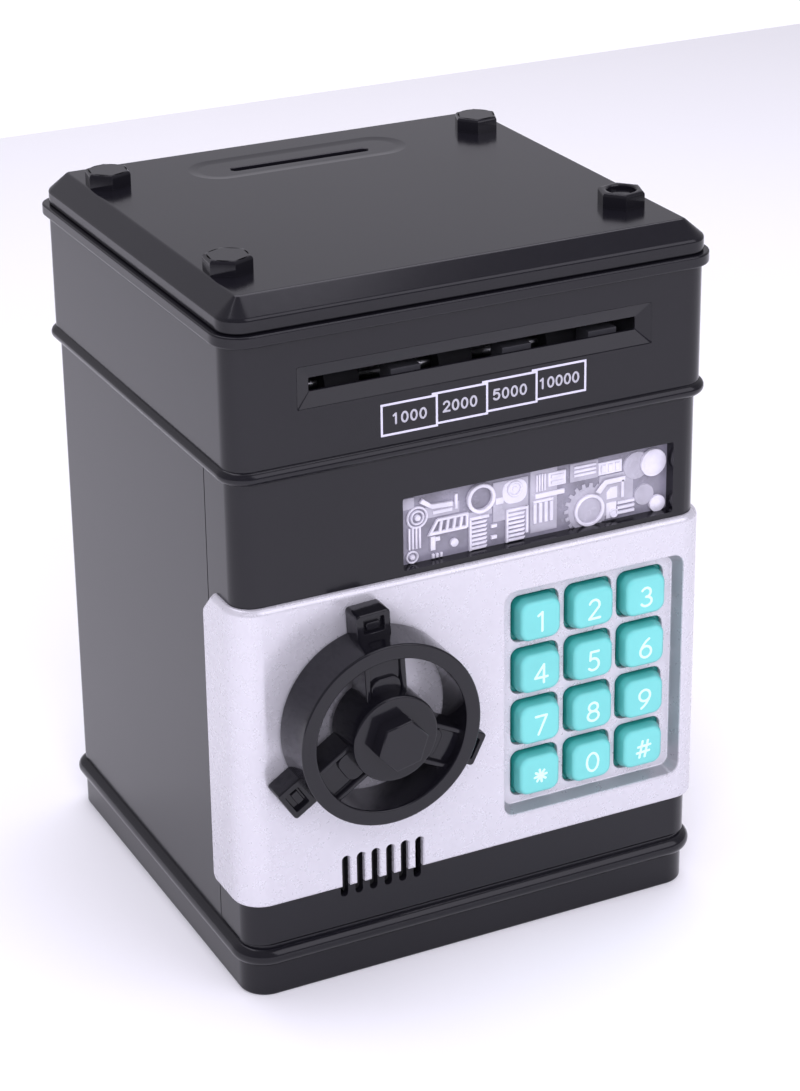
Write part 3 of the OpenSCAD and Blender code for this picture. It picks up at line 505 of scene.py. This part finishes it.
def build_keys():
    for name, lines in glyphs().items():
        lo, hi = node_mm(name)
        cx, cz = (lo[0] + hi[0]) / 2, (lo[2] + hi[2]) / 2
        front = lo[1]
        back = hi[1]
        rows = [(14.4, 13.6, 2.6, back), (14.4, 13.6, 2.6, back - 0.9), (12.5, 11.7, 2.9, back - 0.95),
                (12.5, 11.7, 2.9, front + 3.3), (12.45, 11.65, 2.9, front + 2.9)]
        for i in range(6):
            k = i / 5
            rows.append((12.4 - 0.9 * k, 11.6 - 0.9 * k, 2.75, front + 2.6 - 1.5 * k))
        for i in range(1, 9):
            a = math.radians(90 * i / 8)
            shrink = 2.6 * (1 - math.cos(a))
            rows.append((11.5 - shrink, 10.7 - shrink, 2.75 - shrink / 2, front + 1.1 - 1.1 * math.sin(a)))
        cap = Shape()
        cap.loft([at_y(round_rect(cx, cz, w, h, r, 8), y) for w, h, r, y in rows])
        piece = cap.finish(name + "_moulded", name + "_cap", teal, 60)
        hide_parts(name)
        sign = Shape()
        for i, (pts, closed) in enumerate(lines):
            placed = [(cx + 0.1 + x * 0.98, cz - 0.3 + z * 0.98) for x, z in pts]
            ribbon(sign, placed, 0.72, front + 0.02, front - 0.04 - 0.006 * i, closed)
        sign.finish(name + "_sign", name + "_cap", sign_print, 60)


build_keys()


# ---------------------------------------------------------------- value labels under the banknote slot
def numeral(digit):
    """A small upright numeral, 3.1 mm tall, as (points, closed) lines about its centre."""
    return {
        "0": [(arc(0, 0, 0.82, 1.3, 0, 345, 23), True)],
        "1": [([(-0.55, 0.85), (0.1, 1.32)], False), ([(0.1, 1.32), (0.1, -1.32)], False)],
        "2": [(arc(0, 0.55, 0.8, 0.77, 165, -30, 12) + [(-0.85, -1.3)], False),
              ([(-0.85, -1.3), (0.9, -1.3)], False)],
        "5": [([(0.75, 1.3), (-0.6, 1.3)], False), ([(-0.6, 1.3), (-0.75, 0.1)], False),
              (arc(-0.05, -0.45, 0.87, 0.87, 130, -145, 16), False)],
    }[digit]


def build_labels():
    head_lo = node_mm("head_casing")[0]
    face = head_lo[1] + 1.75
    left, bottom, w, h, line = -26.0, 144.55, 15.1, 8.2, 0.55
    for i, text in enumerate(("1000", "2000", "5000", "10000")):
        x, z = left + 13.5 * i, bottom + 0.5 * i
        front = face - 0.05 - 0.02 * (3 - i)
        ground = Shape()
        raised(ground, [(x, z), (x + w, z), (x + w, z + h), (x, z + h)], face + 0.1, front + 0.012, 0.01, 1)
        ground.finish("label_%d_ground" % i, "case", black)
        frame_line = Shape()
        ring_out = [(x, z), (x + w, z), (x + w, z + h), (x, z + h)]
        ring_in = inset(ring_out, line)
        frame_line.loft([at_y(ring_out, face + 0.1), at_y(ring_out, front), at_y(ring_in, front),
                         at_y(ring_in, face + 0.1)], closed=True)
        frame_line.finish("label_%d_frame" % i, "case", line_print)
        words = Shape()
        step = 2.42 if len(text) == 4 else 2.3
        for k, digit in enumerate(text):
            cx = x + w / 2 + (k - (len(text) - 1) / 2) * step
            for j, (pts, closed) in enumerate(numeral(digit)):
                placed = [(cx + px * 0.92, z + h / 2 + pz * 0.94) for px, pz in pts]
                ribbon(words, placed, 0.54, front + 0.02, front - 0.03 - 0.004 * j, closed)
        words.finish("label_%d_value" % i, "case", grey_print, 60)


build_labels()


# ---------------------------------------------------------------- window relief
def build_relief():
    lo, hi = node_mm("window_relief")
    front = lo[1]
    ground_y = front + 1.0
    cx, cz = (lo[0] + hi[0]) / 2, (lo[2] + hi[2]) / 2
    base = Shape()
    raised(base, round_rect(cx, cz, hi[0] - lo[0], hi[2] - lo[2], 1), hi[1], ground_y, 0.1, 1)
    ground = base.finish("relief_ground", "door", relief_base)
    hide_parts("window_relief")
    top = Shape()
    low = Shape()

    def block(pts, height=0.7, bevel=0.22):
        raised(top, pts, ground_y + 0.1, ground_y - height, bevel)

    def bar(x0, z0, x1, z1, height=0.7, bevel=0.2):
        block([(x0, z0), (x1, z0), (x1, z1), (x0, z1)], height, bevel)

    def disc(x, z, r, height=0.8, bevel=0.25):
        top.loft([at_y(arc(x, z, q, q, 0, 345, 23), y) for q, y in (
            (r, ground_y + 0.1), (r, ground_y - height + bevel),
            (r - bevel * 0.3, ground_y - height + bevel * 0.3), (r - bevel, ground_y - height))])

    def ring(x, z, r_out, r_in, height=0.9):
        y0, y1 = ground_y + 0.1, ground_y - height
        turned(top, x, z, [(r_out, y0), (r_out, y1 + 0.2), (r_out - 0.2, y1), (r_in + 0.2, y1),
                           (r_in, y1 + 0.2), (r_in, y0)], 36, True)

    def plate(x0, z0, x1, z1, height=0.3):
        raised(low, [(x0, z0), (x1, z0), (x1, z1), (x0, z1)], ground_y + 0.1, ground_y - height, 0.12)

    def dome(x, z, r, height=0.3):
        face = ground_y - height
        turned(low, x, z, [(r, ground_y + 0.1), (r - 0.25, face), (0.05, face - 0.05)], 32)

    plate(-19.6, 122.6, -15.5, 125.6, 0.25)
    plate(-12.6, 119.2, -3.2, 122.2, 0.2)
    plate(6.0, 114.4, 15.8, 124.9, 0.22)
    plate(-1.4, 116.9, 5.8, 118.4, 0.26)
    plate(16.4, 109.2, 24.0, 126.2, 0.2)
    plate(27.6, 120.6, 35.6, 125.6, 0.24)
    plate(36.0, 112.0, 45.8, 120.6, 0.2)
    dome(32.9, 112.4, 5.9, 0.28)
    for r_out, r_in, h in ((2.9, 2.35, 0.6), (1.9, 1.4, 0.75)):
        ring(-14.8, 120.1, r_out, r_in, h)
    disc(-14.8, 120.1, 0.8, 0.9)
    for i in range(4):
        bar(-17.3 + i * 0.95, 112.0, -16.75 + i * 0.95, 117.6, 0.65, 0.15)
    ring(-16.2, 109.9, 1.7, 1.2, 0.6)
    disc(-16.2, 109.9, 0.7, 0.8)
    block([(-14.2, 123.8), (-10.9, 121.6), (-5.2, 121.3), (-5.2, 122.6), (-10.9, 122.9), (-13.4, 124.9)])
    bar(-4.6, 120.3, -3.8, 124.3, 0.6)
    bar(-10.6, 120.0, -5.2, 120.9, 0.5)
    block([(-12.0, 114.6), (-1.4, 114.6), (-0.9, 115.4), (-11.0, 115.4)])
    block([(-9.6, 118.0), (-1.0, 118.0), (-0.9, 118.7), (-9.2, 118.7)])
    block([(-12.0, 114.6), (-11.2, 114.6), (-8.9, 118.5), (-9.6, 118.5)])
    bar(-1.6, 114.8, -0.9, 118.5)
    for i in range(4):
        x = -9.0 + i * 1.85
        block([(x, 115.3), (x + 0.75, 115.3), (x + 1.15, 118.1), (x + 0.45, 118.1)], 0.6, 0.15)
    disc(-4.8, 111.5, 1.1, 0.8)
    bar(-11.3, 110.6, -9.9, 114.2, 0.55)
    bar(-9.9, 112.8, -8.6, 113.9, 0.45)
    for i in range(3):
        bar(-10.9 + i * 1.1, 108.5, -10.2 + i * 1.1, 109.6, 0.6, 0.15)
    ring(2.6, 121.7, 3.9, 2.9, 1.0)
    block(round_rect(12.0, 121.6, 6.9, 6.4, 2.6, 5), 0.45, 0.25)
    ring(11.9, 122.4, 2.1, 1.45, 1.0)
    disc(11.9, 122.4, 0.7, 0.8)
    bar(6.6, 119.0, 8.9, 120.8, 0.5)
    for x, z, w in ((-0.6, 108.3, 5.2), (9.6, 108.4, 5.6)):
        bar(x - 0.1, z, x + 0.55, z + 8.6, 0.75)
        bar(x, z + 8.0, x + w + 0.2, z + 8.8, 0.75)
        for i in range(7):
            block([(x + 0.5, z + 0.1 + i * 1.12), (x + w - 0.8, z + 0.1 + i * 1.12),
                   (x + w - 0.3, z + 0.75 + i * 1.12), (x + 0.5, z + 0.75 + i * 1.12)], 0.65, 0.15)
    bar(15.0, 110.0, 15.7, 117.2, 0.8)
    for z in (113.6, 110.6):
        bar(5.4, z - 0.45, 7.0, z + 0.45, 0.6, 0.15)
    for i in range(4):
        bar(17.1 + i * 1.55, 111.8, 18.05 + i * 1.55, 117.2, 0.75)
    bar(17.1, 117.2, 22.8, 117.9, 0.6)
    for i in range(4):
        bar(17.9 + i * 0.75, 120.2, 18.35 + i * 0.75, 124.7, 0.6, 0.12)
    block([(21.3, 120.8), (26.4, 120.8), (26.4, 124.6), (21.3, 124.6)], 0.45)
    bar(22.1, 121.5, 25.6, 122.3, 0.75)
    bar(22.1, 123.1, 25.6, 123.9, 0.75)
    bar(17.7, 118.3, 26.0, 119.6, 0.5)
    cog = []
    for i in range(18):
        a = 20 * i
        for off, r in ((-6, 5.5), (-4, 6.6), (4, 6.6), (6, 5.5)):
            tooth = math.radians(a + off)
            cog.append((32.6 + r * math.cos(tooth), 112.9 + r * math.sin(tooth)))
    raised(low, cog, ground_y + 0.1, ground_y - 0.24, 0.1)
    ring(33.0, 112.3, 4.3, 3.4, 1.0)
    for i in range(3):
        bar(28.6, 121.9 + i * 1.1, 34.9, 122.6 + i * 1.1, 0.6, 0.15)
    block([(35.6, 120.9), (42.4, 120.9), (42.4, 124.3), (35.6, 124.3)], 0.4)
    for i in range(3):
        bar(36.3 + i * 2.0, 121.6, 37.6 + i * 2.0, 123.7, 0.7)
    block([(35.0, 117.0), (37.4, 119.4), (43.0, 119.4), (43.0, 118.5), (37.9, 118.5), (36.0, 116.4)])
    bar(42.1, 113.9, 43.0, 118.9, 0.7)
    block([(38.0, 114.0), (41.2, 114.0), (41.2, 117.2), (39.2, 117.2), (38.0, 116.0)], 0.45)
    for i in range(3):
        bar(41.2, 109.4 + i * 1.35, 46.1, 110.2 + i * 1.35, 0.65, 0.18)
    block([(38.0, 108.7), (41.0, 108.7), (41.0, 113.1), (38.0, 113.1)], 0.35)
    ring(40.2, 110.0, 1.3, 0.8, 0.7)
    disc(51.3, 121.6, 3.7, 0.95, 0.3)
    ring(51.3, 121.6, 3.0, 2.7, 1.0)
    dome(46.6, 121.6, 3.9, 0.32)
    disc(52.7, 110.2, 2.3, 0.9, 0.3)
    disc(52.7, 110.2, 1.2, 1.0, 0.2)
    dome(49.0, 113.2, 3.0, 0.32)
    low.finish("relief_steps", "door", relief_low, 40)
    top.finish("relief_machinery", "door", relief_top, 40)


build_relief()

# ---------------------------------------------------------------- case, lid and base
def outline(w, d, rf, rb, out, n=14):
    """Points round the casing, moved out from its wall, with the same count for every distance."""
    pts = []
    for sx, sy, r, a in ((-1, -1, rf, 180), (1, -1, rf, 270), (1, 1, rb, 0), (-1, 1, rb, 90)):
        bend = arc(sx * (w / 2 - r), sy * (d / 2 - r), r + out, r + out, a, a + 90, n)
        c, v = math.cos(math.radians(a)), math.sin(math.radians(a))
        pts.append((bend[0][0] + v * 0.6, bend[0][1] - c * 0.6))
        pts += bend
        pts.append((bend[-1][0] - c * 0.6, bend[-1][1] - v * 0.6))
    return pts


def rounded_profile(profile, radii, n=4):
    """The closed profile with each corner turned into an arc of the given radius."""
    out = []
    count = len(profile)
    for i, ((px, pz), r) in enumerate(zip(profile, radii)):
        ax, az = profile[i - 1]
        bx, bz = profile[(i + 1) % count]
        la, lb = math.hypot(ax - px, az - pz), math.hypot(bx - px, bz - pz)
        if r <= 0 or la < 1e-6 or lb < 1e-6:
            out.append((px, pz))
            continue
        ua, ub = ((ax - px) / la, (az - pz) / la), ((bx - px) / lb, (bz - pz) / lb)
        cosine = max(-0.9999, min(0.9999, ua[0] * ub[0] + ua[1] * ub[1]))
        half = math.acos(cosine) / 2
        cut = min(r / math.tan(half), la * 0.45, lb * 0.45)
        r = cut * math.tan(half)
        start = (px + ua[0] * cut, pz + ua[1] * cut)
        stop = (px + ub[0] * cut, pz + ub[1] * cut)
        reach = r / math.sin(half)
        bis = (ua[0] + ub[0], ua[1] + ub[1])
        lbis = math.hypot(*bis)
        cx, cz = px + bis[0] / lbis * reach, pz + bis[1] / lbis * reach
        a0 = math.atan2(start[1] - cz, start[0] - cx)
        a1 = math.atan2(stop[1] - cz, stop[0] - cx)
        turn = (a1 - a0 + math.pi) % (2 * math.pi) - math.pi
        hold = min(0.12, la * 0.04, lb * 0.04)
        out.append((start[0] + ua[0] * hold, start[1] + ua[1] * hold))
        for k in range(n + 1):
            a = a0 + turn * k / n
            out.append((cx + r * math.cos(a), cz + r * math.sin(a)))
        out.append((stop[0] + ub[0] * hold, stop[1] + ub[1] * hold))
    return out


def swept(shape, dims, profile, closed=True):
    """Sweeps a profile of (distance out, z) points round the casing."""
    rings = [[(x, y, z) for x, y in outline(*dims, out)] for out, z in profile]
    shape.loft(rings, closed)


def bead(cx, cz, r, n=16):
    """The half of a bead that stands outside the wall, from below to above."""
    reach = math.degrees(math.acos(min(1, max(-1, -cx / r))))
    return arc(cx, cz, r, r, -reach, reach, n)


def cut_out(obj, shape, name):
    """Takes shape away from obj for good."""
    mesh = bpy.data.meshes.new(name)
    mesh.from_pydata([tuple(c * MM for c in p) for p in shape.points], [], shape.faces)
    work = bmesh.new()
    work.from_mesh(mesh)
    bmesh.ops.remove_doubles(work, verts=work.verts, dist=1e-7)
    bmesh.ops.recalc_face_normals(work, faces=work.faces)
    work.to_mesh(mesh)
    work.free()
    tool = bpy.data.objects.new(name, mesh)
    scene.collection.objects.link(tool)
    step = obj.modifiers.new(name, "BOOLEAN")
    step.operation = "DIFFERENCE"
    step.solver = "EXACT"
    step.object = tool
    with bpy.context.temp_override(object=obj, active_object=obj, selected_objects=[obj]):
        bpy.ops.object.modifier_apply(modifier=step.name)
    bpy.data.objects.remove(tool)
    obj.data.polygons.foreach_set("use_smooth", [True] * len(obj.data.polygons))
    obj.data.set_sharp_from_angle(angle=math.radians(32))


def weigh_normals(obj):
    step = obj.modifiers.new("Normals", "WEIGHTED_NORMAL")
    step.keep_sharp = True
    step.weight = 60


def slot_outline(cx, cy, length, width, n=10):
    reach = (length - width) / 2
    right = arc(cx + reach, cy, width / 2, width / 2, -90, 90, n)
    return right + arc(cx - reach, cy, width / 2, width / 2, 90, 270, n)


def pillar(shape, cx, cy, rings, n=32):
    """An upright turned solid from (radius, z) points."""
    shape.loft([[(cx + x, cy + y, z) for x, y in arc(0, 0, r, r, 0, 360 - 360 / n, n - 1)]
                for r, z in rings])


def bolt_place(sx, sy):
    return BOLT_CENTRE[0] + sx * BOLT_REACH[0], BOLT_CENTRE[1] + sy * BOLT_REACH[1]


def build_lid():
    lo, hi = node_mm("lid")
    top, foot = hi[2], 176.12
    dims = (hi[0] - lo[0], hi[1] - lo[1], 6, 6)
    profile = rounded_profile(
        [(-5.9, top - 2), (-5.3, top - 2), (-2.2, top - 5.2), (-2.2, foot), (0, foot), (0, top - 4.4),
         (-5, top), (-5.9, top)], [0, 0, 0, 0.2, 0.35, 1.1, 1.2, 0], 5)
    lid = Shape()
    swept(lid, dims, profile, False)
    obj = lid.finish("lid_moulded", "case", black)
    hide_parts("lid")
    sink = Shape()
    sink.loft([[(px, py, z) for px, py in slot_outline(-1.6, 37.6, 61 + grow, 17 + grow, 16)]
               for grow, z in ((-6, top - 0.24), (-4.4, top - 0.22), (-2, top - 0.11), (0, top - 0.02),
                               (1, top + 0.1), (1.6, top + 0.6))])
    cut_out(obj, sink, "coin_dish")
    hole = Shape()
    hole.loft([[(px, py, z) for px, py in slot_outline(-1.6, 36.6, 39.3 + grow, 2.9 + grow)]
               for grow, z in ((0, top - 4), (0, top - 0.7), (0.1, top - 0.45), (0.4, top - 0.3),
                               (0.9, top - 0.22), (1.0, top))])
    cut_out(obj, hole, "coin_slot")
    weigh_normals(obj)


def build_bolts():
    top = node_mm("lid_bolts")[1][2]
    seat = top - 3.7
    heads = Shape()
    for sx, sy, turn in ((-1, -1, 24), (1, -1, 12), (1, 1, 8), (-1, 1, 20)):
        cx, cy = bolt_place(sx, sy)
        levels = [(6.1, seat - 0.02), (6.1, top - 0.9), (6.05, top - 0.6), (5.85, top - 0.3),
                  (5.55, top - 0.08), (5.2, top)]
        if sx > 0 and sy < 0:
            levels += [(4.3, top), (3.9, top - 0.1), (3.7, top - 0.4), (3.7, top - 1.5), (2.4, top - 1.5),
                       (2.2, top - 1.1), (1.9, top - 1.0)]
        else:
            levels += [(4.9, top)]
        rings = []
        for i, (r, z) in enumerate(levels):
            ring = []
            for a in range(60):
                angle = math.radians(turn + a * 6)
                k = 1 if i > 5 else math.cos(math.radians(30)) / math.cos(math.radians((a * 6) % 60 - 30))
                reach = r * k if i < 6 else r
                ring.append((cx + reach * math.cos(angle), cy + reach * math.sin(angle), z))
            rings.append(ring)
        heads.loft(rings)
        pillar(heads, cx, cy, [(1.9, seat - 10), (1.9, seat)], 16)
    obj = heads.finish("lid_bolts_moulded", "case", black, 24)
    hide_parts("lid_bolts")


def build_head():
    w, d = 129.1, 119.1
    dims = (w, d, 6, 4.5)
    foot, top = 138.6, 176.0
    rib = bead(-0.45, 140.5, 1.75)
    profile = rounded_profile(
        [(0, foot)] + rib + [(0, top - 3), (1.75, top - 3), (1.75, top), (-2.2, top), (-2.2, foot)],
        [0.2] + [0] * len(rib) + [0.15, 0.5, 0.4, 0.2, 0], 4)
    head = Shape()
    swept(head, dims, profile)
    obj = head.finish("head_moulded", "case", black)
    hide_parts("head_casing")
    face = -d / 2
    mouth = Shape()
    cx, cz = 0.35, 160.45
    steps = [(96.6, 12.1, 0.9, -0.6), (95.7, 11.2, 0.7, -0.12), (95.2, 10.7, 0.55, 0.06),
             (94.9, 10.4, 0.5, 0.3), (88.0, 3.65, 0.3, 1.66), (87.6, 3.25, 0.3, 1.9),
             (87.5, 3.15, 0.3, 2.2), (87.5, 3.15, 0.3, 3.5)]
    mouth.loft([at_y(round_rect(cx, cz, mw, mh, r, 3), face + y) for mw, mh, r, y in steps])
    cut_out(obj, mouth, "bill_mouth")
    posts = Shape()
    for sx in (-1, 1):
        for sy in (-1, 1):
            cx, cy = bolt_place(sx, sy)
            ring = []
            for r, z in ((3.6, 170.6), (3.6, 181.8), (1.95, 181.8), (1.95, 170.6)):
                ring.append([(cx + x, cy + y, z) for x, y in arc(0, 0, r, r, 0, 345, 23)])
            posts.loft(ring, True)
    posts.finish("head_bosses", "case", black)
    weigh_normals(obj)


def build_base():
    dims = (127.4, 117.4, 7, 4.5)
    top, floor = 14.5, 2.2
    inside = [(-4.4, floor), (-3.2, floor + 0.6), (-3.2, top), (0, top)]
    profile = inside + bead(-0.5, 11.4, 2.5, 20)[::-1]
    profile += [(0, 0.7), (-0.1, 0.35), (-0.35, 0.1), (-0.7, 0), (-4.4, 0)]
    tray = Shape()
    swept(tray, dims, profile, False)
    obj = tray.finish("base_moulded", "case", black)
    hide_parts("base_tray")
    for sx in (-1, 1):
        for cy in FOOT_Y:
            bore = Shape()
            pillar(bore, sx * FOOT_X, cy, [(3.4, -1), (3.4, 0.1), (3.1, 0.4), (3.1, floor - 0.3)])
            cut_out(obj, bore, "screw_well")
    posts = Shape()
    for sx in (-1, 1):
        for cy in FOOT_Y:
            rings = [[(sx * FOOT_X + x, cy + y, z) for x, y in arc(0, 0, r, r, 0, 345, 23)]
                     for r, z in ((3.6, floor), (3.6, top), (1.6, top), (1.6, floor))]
            posts.loft(rings, True)
    posts.finish("base_posts", "case", black)
    weigh_normals(obj)


# ---------------------------------------------------------------- silver overlay with its keypad tray
def build_overlay():
    lo, hi = node_mm("door_overlay")
    foot, top = lo[2], hi[2]
    half_w, front, r, thick = 63.7, -58.7, 6.0, 1.6
    left_end, right_end = hi[1], -44.4
    path = []

    def side(x, y0, y1, nx, n):
        for i in range(n + 1):
            path.append((x, y0 + (y1 - y0) * i / n, nx, 0))

    side(-half_w, left_end, front + r, -1, 12)
    for sx, start in ((-1, 180), (1, 270)):
        for i in range(13):
            a = math.radians(start + 90 * i / 12)
            nx, ny = math.cos(a), math.sin(a)
            path.append((sx * (half_w - r) + r * nx, front + r + r * ny, nx, ny))
    side(half_w, front + r, right_end, 1, 10)
    rings = []
    for i, (x, y, nx, ny) in enumerate(path):
        if i and (x, y) == path[i - 1][:2]:
            continue
        near = left_end - y if nx < -0.99 else 99
        z1 = top - max(0, 4.7 - near)
        z0 = foot + max(0, 0.9 - near)
        section = [(0, z0), (thick - 0.55, z0), (thick - 0.2, z0 + 0.1), (thick - 0.05, z0 + 0.3),
                   (thick, z0 + 0.6)]
        for k in range(7):
            a = math.radians(90 * k / 6)
            section.append((thick - 1.45 * (1 - math.cos(a)), z1 - 1.7 * (1 - math.sin(a))))
        section += [(0, z1)]
        rings.append([(x + nx * out, y + ny * out, z) for out, z in section])
    plate = Shape()
    plate.loft(rings)
    obj = plate.finish("overlay_moulded", "door", silver)
    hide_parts("door_overlay")
    face = front - thick
    cx, cz = 32.7, 65.4
    well = Shape()
    well.loft([at_y(round_rect(cx, cz, 52.4, 63.5, 3.4, 8), y) for y in (face - 1, face + 5)])
    cut_out(obj, well, "keypad_well")
    tray = Shape()
    outer = [(52.6, 63.7, 3.5, face + 4.7), (52.6, 63.7, 3.5, face + 0.35)]
    lip = [(52.36, 63.46, 3.4, face + 0.02), (51.7, 62.8, 3.1, face + 0.1), (51.3, 62.4, 3.0, face + 0.4)]
    wall = [(48.9, 60.0, 2.4, face + 3.1), (48.5, 59.6, 2.3, face + 3.35), (47.8, 58.9, 2.0, face + 3.5)]
    tray.loft([at_y(round_rect(cx, cz, w, h, rr, 8), y) for w, h, rr, y in outer + lip + wall])
    tray_obj = tray.finish("overlay_tray", "door", silver)
    # The recess's steep walls take the darker silver copy: painted shade.
    tray_obj.data.materials.append(silver_wall_painted_shade)
    for flat in tray_obj.data.polygons:
        if abs(flat.normal.y) < 0.75 and flat.center.y > (face + 0.45) * MM:
            flat.material_index = 1
    holes = Shape()
    for i in range(3):
        for j in range(4):
            x = KEYPAD_CENTRE[0] + (i - 1) * KEY_PITCH[0]
            z = KEYPAD_CENTRE[1] + (j - 1.5) * KEY_PITCH[1]
            holes.loft([at_y(round_rect(x, z, 13.4 + g, 12.6 + g, 2.3 + g / 2, 8), y) for g, y in (
                (0.9, face + 3.2), (0.5, face + 3.46), (0.2, face + 3.58), (0, face + 3.85), (0, face + 6))])
    cut_out(tray_obj, holes, "key_holes")
    vents = Shape()
    for i in range(6):
        x = VENT_START + VENT_PITCH * i
        ring = rotated(slot_outline(0, 0, 12.2, 2.1), 90, x, VENT_Z)
        wide = rotated(slot_outline(0, 0, 12.7, 2.6), 90, x, VENT_Z)
        wider = rotated(slot_outline(0, 0, 13.1, 3.0), 90, x, VENT_Z)
        vents.loft([at_y(wider, face - 0.5), at_y(wide, face + 0.02), at_y(ring, face + 0.4),
                    at_y(ring, face + 3)])
    cut_out(obj, vents, "vent_slots")
    weigh_normals(obj)
    weigh_normals(tray_obj)


# ---------------------------------------------------------------- handwheel
def build_wheel():
    rear = WHEEL_REAR
    front = rear - RIM_DEPTH
    hub_front = front - HUB_PROUD
    cx, cz = WHEEL_CENTRE
    ring = Shape()
    tube = rounded_profile([(RIM_OUTER, rear), (RIM_OUTER, front), (RIM_INNER, front), (RIM_INNER, rear)],
                           [0.3, 0.45, 0.45, 0.3], 4)
    turned(ring, cx, cz, tube, 96, True)
    obj = ring.finish("handwheel_rim", "wheel", gloss)
    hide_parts("handwheel")
    hub = Shape()
    profile = rounded_profile([(0.05, rear - 2), (HUB_RADIUS, rear - 2), (HUB_RADIUS, hub_front),
                               (0.05, hub_front)], [0, 0.4, 0.55, 0], 5)
    turned(hub, cx, cz, profile, 72)
    hub.finish("handwheel_hub", "wheel", gloss)
    boss = Shape()
    hexagon = arc(cx, cz, HEX_RADIUS, HEX_RADIUS, HEX_TURN, HEX_TURN + 300, 5)
    raised(boss, hexagon, hub_front + 0.3, hub_front - HEX_HEIGHT, 0.4, 4)
    boss.finish("handwheel_hex", "wheel", gloss, 40)
    for i in range(3):
        angle = FIRST_SPOKE + 120 * i
        spoke = Shape()
        section = rounded_profile(
            [(-5.4, -64.0), (-5.4, -72.2), (-4.1, -72.2), (-3.9, -71.0), (3.9, -71.0), (4.1, -72.2),
             (5.4, -72.2), (5.4, -64.0)], [0, 0.4, 0.4, 0.3, 0.3, 0.4, 0.4, 0], 3)
        rings = []
        for reach in (9.5, 21.2):
            placed = [rotated([(reach, t)], angle, cx, cz)[0] + (y,) for t, y in section]
            rings.append([(x, y, z) for x, z, y in placed])
        spoke.loft(rings)
        tongue = [(9.5, -3.95), (14.8, -3.95), (14.8, 3.95), (9.5, 3.95)]
        step = rotated(rounded_profile(tongue, [0, 2.4, 2.4, 0], 5), angle, cx, cz)
        raised(spoke, step, -66, -71.9, 0.3)
        spoke.finish("handwheel_spoke_%d" % i, "wheel", gloss)
        lug = Shape()
        block = [(22.6, -4.45), (30.3, -4.45), (30.3, 4.45), (22.6, 4.45)]
        corners = rounded_profile(block, [0, 0.9, 0.9, 0], 3)
        raised(lug, rotated(corners, angle, cx, cz), rear - 0.1, rear - LUG_HEIGHT, 0.4)
        piece = lug.finish("handwheel_lug_%d" % i, "wheel", gloss)
        cutter = Shape()
        steps = [(4.3, 5.8, -7.4), (4.2, 5.7, -6.45), (3.9, 5.4, -6.2), (3.6, 5.1, -5.1)]
        cutter.loft([at_y(rotated(round_rect(27.0, 0, w, h, 0.4, 2), angle, cx, cz), rear + y)
                     for w, h, y in steps])
        cut_out(piece, cutter, "lug_pocket")
        ledge = Shape()
        plate = rotated(round_rect(26.6, 0, 2.0, 3.6, 0.3, 2), angle, cx, cz)
        raised(ledge, plate, rear - 5.0, rear - 5.75, 0.2)
        ledge.finish("handwheel_ledge_%d" % i, "wheel", gloss)


build_lid()
build_bolts()
build_head()
build_base()
build_overlay()
build_wheel()
build_studio()
